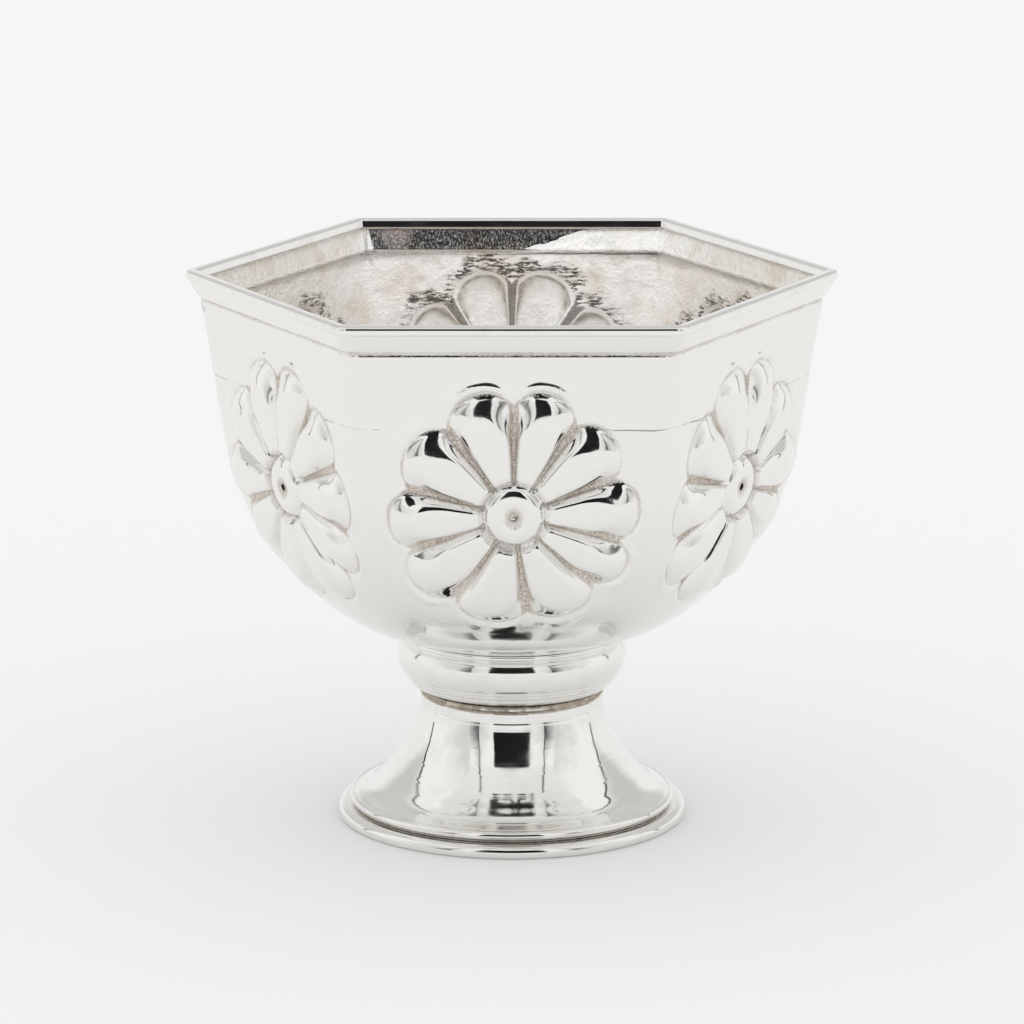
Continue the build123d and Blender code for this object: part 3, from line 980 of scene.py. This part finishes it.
def scratches(tree, place, turn):
    """Mask of long hairlines: noise stretched along one way and cut to a narrow band."""
    turned = add_node(tree, "Mapping", {"Vector": place, "Rotation": turn, "Scale": (1, 14, 14)})
    noise = add_node(tree, "TexNoise", {"Vector": turned, "Scale": 1 / (9 * MM), "Detail": 1.0})
    return stripe(tree, noise, 0.5, 0.0, 0.006)


def coated(tree, tone, coats):
    """Tone under thin coats: each has a mask, how much of the tone it hides, and a colour."""
    for mask, cover, code in coats:
        share = add_node(tree, "Math", mask, cover, operation="MULTIPLY")
        tone = add_node(
            tree, "Mix", {0: share, 6: tone, 7: hex_to_linear(code)}, out=2, data_type="RGBA"
        )
    return tone


def dress(tree, shader, reliefs, inputs):
    """Finish a metal: its inputs, and a normal from reliefs, each a height and its real rise."""
    normal = {}
    for height, rise in reliefs:
        values = {"Height": height, "Distance": rise, **normal}
        normal = {"Normal": add_node(tree, "Bump", values)}
    feed(tree, shader, {**inputs, **normal})


def polished_silver(colours):
    """Hand-polished sheet: a mirror with soft ripples, hairlines, and tan film in its grooves.

    The eye gets bright broken reflections, and dull brown-grey grain where cloths never reach.
    """
    tree, shader, place = new_metal("Polished silver")
    patina, field = (
        add_node(tree, "Attribute", out="Fac", attribute_name=mask) for mask in ("patina", "field")
    )
    grain, patches, breaks, dents = (
        add_node(tree, "TexNoise", {
            "Vector": place, "Scale": 1 / (cell * MM), "Detail": detail, "Roughness": rough,
        })
        for cell, detail, rough in ((0.3, 3, 0.75), (5, 2, 0.5), (5, 4, 0.7), (2.6, 1.5, 0.5))
    )
    # Film stays in the grooves, ragged at its edges and thinner in some patches
    kept = add_node(tree, "MapRange", patches, 0.3, 0.6, 0.72, 1.08)
    kept = add_node(tree, "Math", patina, kept, operation="MULTIPLY")
    ragged = add_node(tree, "Math", kept, sway(tree, grain, 1.1), operation="ADD")
    film = add_node(tree, "MapRange", ragged, 0.36, 0.86)
    # A marking-out line scribed round the walls, now broken
    height = add_node(tree, "SeparateXYZ", place, out="Z")
    height = add_node(tree, "Math", height, sway(tree, patches, 0.5 * MM), operation="ADD")
    line = stripe(tree, height, SCRIBED_HEIGHT, 0.03 * MM, 0.09 * MM)
    broken = add_node(tree, "MapRange", breaks, 0.44, 0.62)
    line = add_node(tree, "Math", line, broken, operation="MULTIPLY")
    line = add_node(tree, "Math", line, field, operation="MULTIPLY")
    hair = [scratches(tree, place, turn) for turn in ((0.3, 0.5, 0.2), (1.2, 0.1, 1.4))]
    hair = add_node(tree, "Math", *hair, operation="MAXIMUM")
    film_tone = add_node(tree, "Mix", {
        0: add_node(tree, "MapRange", grain, 0.3, 0.62),
        6: tuple(colours.patina), 7: hex_to_linear("F0E8DF"),
    }, out=2, data_type="RGBA")
    tone = add_node(
        tree, "Mix", {0: film, 6: tuple(colours.silver), 7: film_tone}, out=2, data_type="RGBA"
    )
    tone = coated(tree, tone, [(line, 0.65, "6B625A")])
    rough = add_node(tree, "MapRange", patches, 0.3, 0.7, 0.055, 0.13)
    for mask, added in ((film, 0.38), (hair, 0.12)):
        more = add_node(tree, "Math", mask, added, operation="MULTIPLY")
        rough = add_node(tree, "Math", rough, more, operation="ADD", use_clamp=True)
    filmed = add_node(tree, "Math", grain, film, operation="MULTIPLY")
    cut = add_node(tree, "Math", line, -1.0, operation="MULTIPLY")
    dress(
        tree, shader, [(dents, 0.03 * MM), (filmed, 0.06 * MM), (cut, 0.03 * MM)],
        {"Base Color": tone, "Roughness": rough},
    )


def pickled_silver(colours):
    """Inside of the sheet: a frosted white skin left by the acid, rubbed through in places.

    The eye gets a pale beige scatter with hammered sparkle, bare crinkles and ridges round
    the petals darkened with painted shade, hollows with painted shade round their edges and
    a painted highlight in their middles, painted shade on the walls before the far one, a
    dark mirror on the far lip that the skin creeps over from the right, and a small red
    fire stain at that lip's left end.
    """
    tree, shader, place = new_metal("Pickled silver")
    # Inside, the patina mask holds the ridges, and below 0 the hollows' depth, for painted shade and a
    # painted highlight
    shaded_ridge, near = (
        add_node(tree, "Attribute", out="Fac", attribute_name=mask) for mask in ("patina", "field")
    )
    split = add_node(tree, "SeparateXYZ", place, out=None).outputs
    flat, tall = (
        add_node(tree, "Mapping", {"Vector": place, "Scale": scale})
        for scale in ((1, 1, 4), (3, 3, 1))
    )
    grain, crumple, patches, streaks, upright_grain = (
        add_node(tree, "TexNoise", {
            "Vector": where, "Scale": 1 / (cell * MM), "Detail": detail, "Roughness": rough,
        })
        for where, cell, detail, rough in (
            (place, 0.35, 4, 0.65), (place, 1.4, 3, 0.6), (place, 5, 3, 0.5),
            (flat, 1.3, 5, 0.75), (tall, 0.6, 3, 0.6),
        )
    )
    wander = sway(tree, patches, 1.2 * MM)
    # Crinkles round the petals: bare metal, darkened with painted shade in the creases
    around = add_node(tree, "Math", near, sway(tree, patches, 2.2), operation="ADD")
    shaded_crinkle = add_node(tree, "MapRange", streaks, 0.48, 0.54)
    for mask in (
        add_node(tree, "MapRange", around, 0.43, 0.73), add_node(tree, "MapRange", near, 0.02, 0.2)
    ):
        shaded_crinkle = add_node(tree, "Math", shaded_crinkle, mask, operation="MULTIPLY")
    # The far face lies behind the axis and between its own two corners
    off_side = add_node(tree, "Math", split["X"], operation="ABSOLUTE")
    between = add_node(tree, "MapRange", off_side, 18.4 * MM, 18.9 * MM, 1.0, 0.0)
    behind = add_node(tree, "MapRange", split["Y"], 20 * MM, 22 * MM)
    far_face = add_node(tree, "Math", between, behind, operation="MULTIPLY")
    # Skin that creeps over the far lip, further in low down and not up to the wire
    climb = add_node(tree, "Math", split["Z"], 64.4 * MM, operation="SUBTRACT")
    climb = add_node(tree, "Math", climb, 3.2, operation="MULTIPLY")
    creep = add_node(tree, "Math", split["X"], climb, operation="SUBTRACT")
    strayed = add_node(tree, "Math", wander, 5.0, operation="MULTIPLY")
    creep = add_node(tree, "Math", creep, strayed, operation="ADD")
    creep = add_node(tree, "MapRange", creep, 0.0, 3.5 * MM)
    under_wire = add_node(tree, "MapRange", split["Z"], 66.9 * MM, 67.3 * MM, 1.0, 0.0)
    creep = add_node(tree, "Math", creep, under_wire, operation="MULTIPLY")
    # The far lip's polished band, worn in upright strokes
    band = add_node(tree, "MapRange", split["Z"], LIP_LINE, 64.45 * MM)
    band = add_node(tree, "Math", band, far_face, operation="MULTIPLY")
    bared = add_node(tree, "Math", 1.0, creep, operation="SUBTRACT")
    polished = add_node(tree, "Math", band, bared, operation="MULTIPLY")
    strokes = add_node(tree, "MapRange", upright_grain, 0.48, 0.75)
    worn = add_node(tree, "Math", strokes, 0.5, operation="MULTIPLY")
    worn = add_node(tree, "Math", 1.0, worn, operation="SUBTRACT")
    mirror = add_node(tree, "Math", polished, worn, operation="MULTIPLY")
    # The dark line along that band's lower edge, fainter to the left
    lowered = add_node(tree, "Math", wander, 0.4, operation="MULTIPLY")
    level = add_node(tree, "Math", split["Z"], lowered, operation="ADD")
    edge_line = stripe(tree, level, LIP_LINE, 0.05 * MM, 0.14 * MM)
    edge_line = add_node(tree, "Math", edge_line, far_face, operation="MULTIPLY")
    to_right = add_node(tree, "MapRange", split["X"], -2 * MM, 4 * MM, 0.2, 1.0)
    edge_line = add_node(tree, "Math", edge_line, to_right, operation="MULTIPLY")
    # The groove mask holds ridges above 0 and the hollows' depth below it
    deep = add_node(tree, "Math", shaded_ridge, -1.0, operation="MULTIPLY")
    # Painted shade round each hollow's edge, and a painted highlight in its middle
    hollow_rim_shade = add_node(
        tree, "Math", add_node(tree, "MapRange", deep, 0.03, 0.2),
        add_node(tree, "MapRange", deep, 0.4, 0.8, 1.0, 0.0), operation="MULTIPLY",
    )
    hollow_highlight = add_node(tree, "MapRange", deep, 0.45, 0.85)
    # Ridges between the hollows: bare metal, greyed with painted shade along the hollows' edges
    shaded_ridge = add_node(tree, "MapRange", shaded_ridge, 0.4, 0.8)
    from_stain = add_node(
        tree, "VectorMath", place, STAIN_PLACE, out="Value", operation="DISTANCE"
    )
    fire = add_node(
        tree, "Math", add_node(tree, "MapRange", from_stain, 1.0 * MM, 3.2 * MM, 1.0, 0.0),
        add_node(tree, "MapRange", grain, 0.3, 0.6), operation="MULTIPLY",
    )
    burnt = add_node(tree, "Math", fire, 0.85, operation="MULTIPLY")
    unburnt = add_node(tree, "Math", 1.0, burnt, operation="SUBTRACT")
    mirror = add_node(tree, "Math", mirror, unburnt, operation="MULTIPLY")
    # Where bare metal shows: crinkles, ridges, the other lips, the mirror, and small specks
    other_lips = add_node(tree, "MapRange", split["Z"], 64.7 * MM, 65.1 * MM)
    other_lips = add_node(tree, "Math", other_lips, 0.45, operation="MULTIPLY")
    not_far = add_node(tree, "Math", 1.0, far_face, operation="SUBTRACT")
    other_lips = add_node(tree, "Math", other_lips, not_far, operation="MULTIPLY")
    specks = add_node(tree, "MapRange", crumple, 0.46, 0.62, 0.0, 0.3)
    shiny = shaded_crinkle
    for bare in (shaded_ridge, other_lips, mirror, specks):
        shiny = add_node(tree, "Math", shiny, bare, operation="MAXIMUM")
    stain = add_node(tree, "MapRange", patches, 0.47, 0.72)
    tone = add_node(tree, "Mix", {
        0: stain, 6: tuple(colours.pickled), 7: hex_to_linear("EFE5D8"),
    }, out=2, data_type="RGBA")
    # Painted shade: the inside walls before the far one are greyed, the far wall is left clear
    side_shade = add_node(tree, "MapRange", split["Y"], 20 * MM, 29 * MM, 0.38, 0.0)
    tone = add_node(
        tree, "Mix", {0: side_shade, 6: tone, 7: hex_to_linear("CDC3B5")}, out=2, data_type="RGBA"
    )
    # The painted shade round the hollows' edges, broken by noise
    broken_rim_shade = add_node(tree, "MapRange", crumple, 0.35, 0.6, 0.45, 1.0)
    broken_rim_shade = add_node(tree, "Math", hollow_rim_shade, broken_rim_shade, operation="MULTIPLY")
    # Coats: painted shade on the ridges, round the hollows and in the crinkles, a painted highlight in
    # the hollows' middles, the dark line and the fire stain
    tone = coated(tree, tone, (
        (shaded_ridge, 0.6, "868280"), (broken_rim_shade, 0.8, "948B80"), (hollow_highlight, 0.9, "FFFEFC"),
        (shaded_crinkle, 0.85, "565452"), (edge_line, 0.8, "5A5652"), (fire, 0.85, "A0624E"),
    ))
    smooth = add_node(tree, "Math", polished, 0.93, operation="MULTIPLY")
    frosted = add_node(tree, "Math", 1.0, smooth, operation="SUBTRACT")
    hammered, grained = (
        add_node(tree, "Math", noise, frosted, operation="MULTIPLY") for noise in (crumple, grain)
    )
    dress(tree, shader, [(hammered, 0.34 * MM), (grained, 0.11 * MM)], {
        "Base Color": tone,
        "Roughness": add_node(tree, "MapRange", shiny, 0.0, 1.0, 0.38, 0.14),
        "Metallic": add_node(tree, "MapRange", shiny, 0.0, 1.0, 0.22, 1.0),
    })


def turned_silver(name, colour, line_depth, rough_low, rough_high, films=()):
    """Silver polished on the lathe: a mirror drawn out sideways by fine lines round the axis.

    Each film is a pair of heights in millimetres between which a warm grey skin has stayed.
    """
    tree, shader, place = new_metal(name)
    height = add_node(tree, "SeparateXYZ", place, out="Z")
    rings = add_node(tree, "Mapping", {"Vector": place, "Scale": (0.02, 0.02, 1)})
    fine, broad, patches, grain = (
        add_node(tree, "TexNoise", {
            "Vector": where, "Scale": 1 / (cell * MM), "Detail": detail, "Roughness": rough,
        })
        for where, cell, detail, rough in (
            (rings, 0.22, 3, 0.6), (rings, 1.4, 2, 0.5), (place, 4, 2, 0.5), (place, 0.25, 2, 0.5),
        )
    )
    stain = add_node(tree, "MapRange", patches, 0.55, 0.8, 0.0, 0.25)
    for low, high in films:
        middle, half = (low + high) / 2 * MM, (high - low) / 2 * MM
        band = stripe(tree, height, middle, 0.6 * half, 1.1 * half)
        ragged = add_node(tree, "Math", fine, grain, operation="ADD")
        ragged = add_node(tree, "MapRange", ragged, 0.7, 1.2, 0.3, 1.0)
        skin = add_node(tree, "Math", band, ragged, operation="MULTIPLY")
        stain = add_node(tree, "Math", stain, skin, operation="MAXIMUM")
    tone = add_node(
        tree, "Mix", {0: stain, 6: colour, 7: hex_to_linear("D8CDC0")}, out=2, data_type="RGBA"
    )
    rough = add_node(tree, "Math", fine, patches, operation="MULTIPLY")
    rough = add_node(tree, "MapRange", rough, 0.15, 0.4, rough_low, rough_high)
    dulled = add_node(tree, "Math", stain, 0.18, operation="MULTIPLY")
    rough = add_node(tree, "Math", rough, dulled, operation="ADD")
    reliefs = [(fine, line_depth), (broad, 6 * line_depth), (grain, 0.4 * line_depth)]
    dress(tree, shader, reliefs, {"Base Color": tone, "Roughness": rough})


def silver_solder(name, dark, light, rough):
    """Solder: tan and grey grains, dull where the torch left it and brighter where it is rubbed."""
    tree, shader, place = new_metal(name)
    grain, lumps = (
        add_node(tree, "TexNoise", {
            "Vector": place, "Scale": 1 / (cell * MM), "Detail": detail, "Roughness": uneven,
        })
        for cell, detail, uneven in ((0.3, 4, 0.7), (1.1, 2, 0.5))
    )
    tone = dark
    for noise, low, high, colour in (
        (grain, 0.32, 0.55, light), (lumps, 0.45, 0.65, hex_to_linear("E8E0D5"))
    ):
        share = add_node(tree, "MapRange", noise, low, high)
        tone = add_node(tree, "Mix", {0: share, 6: tone, 7: colour}, out=2, data_type="RGBA")
    dress(tree, shader, [(grain, 0.12 * MM)], {"Base Color": tone, "Roughness": rough})


class BOWL_OT_metals(bpy.types.Operator):
    """The metals of the bowl, from its colours."""
    bl_idname = "bowl.metals"
    bl_label = "Metals"

    def execute(self, context):
        colours = context.scene.bowl_colours
        polished_silver(colours)
        pickled_silver(colours)
        silver = tuple(colours.silver)
        turned_silver("Rim silver", silver, 0.0008 * MM, 0.06, 0.16)
        turned_silver("Collar silver", silver, 0.0012 * MM, 0.05, 0.14, ((15.4, 15.6),))
        turned_silver("Spun silver", silver, 0.0018 * MM, 0.04, 0.12)
        turned_silver("Ring silver", silver, 0.0012 * MM, 0.07, 0.18)
        silver_solder("Silver solder", hex_to_linear("ADA194"), tuple(colours.solder), 0.42)
        silver_solder("Rubbed solder", hex_to_linear("BDB6AD"), hex_to_linear("E9E5DF"), 0.30)
        return {"FINISHED"}


# Stage


def glow(name, strength, axis=None, bounds=None, ends=None, rise=None):
    """Panel that is mirrored in the metal but that the camera and soft light pass through.

    Its light can fade along one axis between two bounds, grow by a rise towards its top,
    and then varies a little, as cloth does.
    """
    material = bpy.data.materials.new(name)
    material.use_nodes = True
    tree = material.node_tree
    tree.nodes.clear()
    level = strength
    if axis:
        place = add_node(tree, "TexCoord", out="Object")
        split = add_node(tree, "SeparateXYZ", place, out=None).outputs
        along = split[axis]
        if axis == "X":
            along = add_node(tree, "Math", along, operation="ABSOLUTE")
        level = add_node(tree, "MapRange", along, *bounds, *ends)
        folds = add_node(tree, "TexNoise", {"Vector": place, "Scale": 1 / 0.22, "Detail": 2.0})
        level = add_node(tree, "Math", level, sway(tree, folds, 0.35), operation="ADD")
        upper = add_node(tree, "MapRange", split["Z"], 0.25, 0.95, 0.0, rise)
        level = add_node(tree, "Math", level, upper, operation="ADD")
        level = add_node(tree, "Math", level, 0.97, operation="MINIMUM")
    seen = add_node(tree, "LightPath", out="Is Glossy Ray")
    clear = add_node(tree, "BsdfTransparent")
    light = add_node(tree, "Emission", {"Color": (1, 1, 1, 1), "Strength": level})
    mixed = add_node(tree, "MixShader", seen, clear, light)
    add_node(tree, "OutputMaterial", {"Surface": mixed}, out=None)
    return material


def panel(name, corners, material):
    """Flat four-cornered piece of the stage."""
    mesh = bpy.data.meshes.new(name)
    mesh.from_pydata(corners, [], [(0, 1, 2, 3)])
    mesh.materials.append(material)
    made = bpy.data.objects.new(name, mesh)
    bpy.context.scene.collection.objects.link(made)


def pale_floor():
    """White sweep under the bowl, which keeps its soft shadow."""
    material = bpy.data.materials.new("White sweep")
    material.use_nodes = True
    shader = material.node_tree.nodes["Principled BSDF"]
    feed(material.node_tree, shader, {
        "Base Color": hex_to_linear("FAFAFA"), "Roughness": 0.9, "Specular IOR Level": 0.0,
    })
    return material


def upright(name, turn, half_width, distance, high, material):
    """Upright panel at a turn about the axis, counted from -Y, facing the bowl."""
    hub = np.array([sin(turn), -cos(turn)]) * distance
    side = np.array([cos(turn), sin(turn)]) * half_width
    left, right = hub - side, hub + side
    panel(name, [(*left, 0), (*right, 0), (*right, high), (*left, high)], material)


def tent_cloth():
    """White cloth of the tent, greyer at the back and overhead where the metal mirrors it."""
    world = bpy.data.worlds.new("Tent")
    world.use_nodes = True
    tree = world.node_tree
    way = add_node(tree, "TexCoord", out="Generated")
    split = add_node(tree, "SeparateXYZ", way, out=None).outputs
    behind = add_node(
        tree, "Math", add_node(tree, "MapRange", split["Y"], 0.24, 0.4, 0.0, 0.3),
        add_node(tree, "MapRange", split["Z"], 0.24, 0.36), operation="MULTIPLY",
    )
    behind = add_node(tree, "Math", 1.0, behind, operation="SUBTRACT")
    above = add_node(tree, "MapRange", split["Z"], 0.7, 0.98, 1.0, 0.8)
    folds = add_node(tree, "TexNoise", {"Vector": way, "Scale": 1 / 0.45, "Detail": 2.0})
    folds = add_node(tree, "MapRange", folds, 0.3, 0.7, 0.9, 1.0)
    mirrored = add_node(tree, "Math", behind, above, operation="MULTIPLY")
    mirrored = add_node(tree, "Math", mirrored, folds, operation="MULTIPLY")
    lost = add_node(tree, "Math", 1.0, mirrored, operation="SUBTRACT")
    glossy = add_node(tree, "LightPath", out="Is Glossy Ray")
    less = add_node(tree, "Math", glossy, lost, operation="MULTIPLY")
    strength = add_node(tree, "Math", 1.0, less, operation="SUBTRACT")
    feed(tree, tree.nodes["Background"], {"Strength": strength, "Color": hex_to_linear("FBFBFB")})
    return world


def inside_lamp(scene):
    """Soft lamp over the mouth that lights only the bowl's sheet and is mirrored nowhere."""
    lit = bpy.data.collections.new("Lit by the inside lamp")
    lit.objects.link(bpy.data.objects["Bowl_Body"])
    data = bpy.data.lights.new("Inside_Lamp", "AREA")
    data.shape, data.size, data.energy = "DISK", LAMP_SIZE, LAMP_WATTS
    lamp = bpy.data.objects.new("Inside_Lamp", data)
    lamp.location = LAMP_PLACE
    lamp.rotation_euler = LAMP_TURN
    lamp.visible_glossy = False
    lamp.light_linking.receiver_collection = lit
    scene.collection.objects.link(lamp)


def photo_camera(scene):
    """Camera that sees the bowl as the photograph does."""
    data = bpy.data.cameras.new("Camera")
    data.sensor_width = SENSOR
    data.lens = SENSOR * FOCAL_PIXELS / FRAME_PIXELS
    data.clip_start, data.clip_end = 0.01, 10
    camera = bpy.data.objects.new("Camera", data)
    back, up = CAMERA_DISTANCE * cos(CAMERA_DOWN), CAMERA_DISTANCE * sin(CAMERA_DOWN)
    camera.location = (CAMERA_SIDE, -back, AIM_HEIGHT + up)
    camera.rotation_euler = (pi / 2 - CAMERA_DOWN, 0, 0)
    scene.collection.objects.link(camera)
    scene.camera = camera


class BOWL_OT_stage(bpy.types.Operator):
    """Light tent round the bowl: white sweep, dark opening at the camera, seams and cloths.

    A soft lamp lights the bowl's inside, and the camera stands where the photograph's did.
    """
    bl_idname = "bowl.stage"
    bl_label = "Stage"

    def execute(self, context):
        scene = context.scene
        sweep = [(-1.6, -0.95, 0), (1.6, -0.95, 0), (1.6, 3.0, 0), (-1.6, 3.0, 0)]
        panel("Floor", sweep, pale_floor())
        scene.world = tent_cloth()
        opening = [(-0.38, -0.9, 0.09), (0.38, -0.9, 0.09), (0.35, -0.9, 0.97), (-0.35, -0.9, 0.97)]
        panel("Opening", opening, glow("Dark opening", 0.012))
        seam = glow("Seam", 0.04)
        front = glow("Front cloth", 1, "X", (0.40, 0.78), (0.92, 0.70), 0.2)
        shade = glow("Shaded cloth", 1, "X", (0.76, 0.95), (0.16, 0.80), 0.7)
        wall = glow("Side cloth", 1, "Y", (-0.5, 0.0), (0.72, 0.95), 0.1)
        for side, tag in ((-1, "Left"), (1, "Right")):
            for name, turn, half_width, distance, high, cloth in (
                ("Front_Seam", 41, 0.020, 1.17, 1.9, seam), ("Side_Seam", 110, 0.015, 0.82, 1.7, seam),
                ("Shaded_Cloth", 49.5, 0.16, 1.12, 1.0, shade),
            ):
                upright(f"{name}_{tag}", side * radians(turn), half_width, distance, high, cloth)
            near, far = side * 0.40, side * 0.78
            for name, start, end, cloth in (
                ("Front_Cloth", (near, -0.91), (far, -0.91), front),
                ("Side_Cloth", (far, -0.6), (far, 0.28), wall),
            ):
                corners = [(*start, 0), (*end, 0), (*end, 1.0), (*start, 1.0)]
                panel(f"{name}_{tag}", corners, cloth)
        inside_lamp(scene)
        photo_camera(scene)
        scene.view_settings.view_transform = "Standard"
        return {"FINISHED"}


class BOWL_PT_panel(bpy.types.Panel):
    """Sizes, colours and building steps of the bowl."""
    bl_idname = "BOWL_PT_panel"
    bl_label = "Offering bowl"
    bl_space_type = "VIEW_3D"
    bl_region_type = "UI"
    bl_category = "Bowl"

    def draw(self, context):
        scene = context.scene
        for group in (scene.bowl_sizes, scene.rosette_sizes, scene.bowl_colours):
            box = self.layout.box()
            for name in type(group).__annotations__:
                box.prop(group, name)
        for step in STEPS:
            self.layout.operator(step.bl_idname)


STEPS = (
    BOWL_OT_metals, BOWL_OT_body, BOWL_OT_rim, BOWL_OT_collar, BOWL_OT_foot, BOWL_OT_ring,
    BOWL_OT_solder, BOWL_OT_stage,
)
GROUPS = (BowlSizes, RosetteSizes, BowlColours)


def register():
    for known in (*GROUPS, *STEPS, BOWL_PT_panel):
        bpy.utils.register_class(known)
    bpy.types.Scene.bowl_sizes = bpy.props.PointerProperty(type=BowlSizes)
    bpy.types.Scene.rosette_sizes = bpy.props.PointerProperty(type=RosetteSizes)
    bpy.types.Scene.bowl_colours = bpy.props.PointerProperty(type=BowlColours)


def unregister():
    for name in ("bowl_sizes", "rosette_sizes", "bowl_colours"):
        delattr(bpy.types.Scene, name)
    for known in reversed((*GROUPS, *STEPS, BOWL_PT_panel)):
        bpy.utils.unregister_class(known)


def main():
    """Build everything in order."""
    register()
    for build in (
        bpy.ops.bowl.metals, bpy.ops.bowl.body, bpy.ops.bowl.rim, bpy.ops.bowl.collar,
        bpy.ops.bowl.foot, bpy.ops.bowl.ring, bpy.ops.bowl.solder, bpy.ops.bowl.stage,
    ):
        build()


if __name__ == "__main__":
    main()
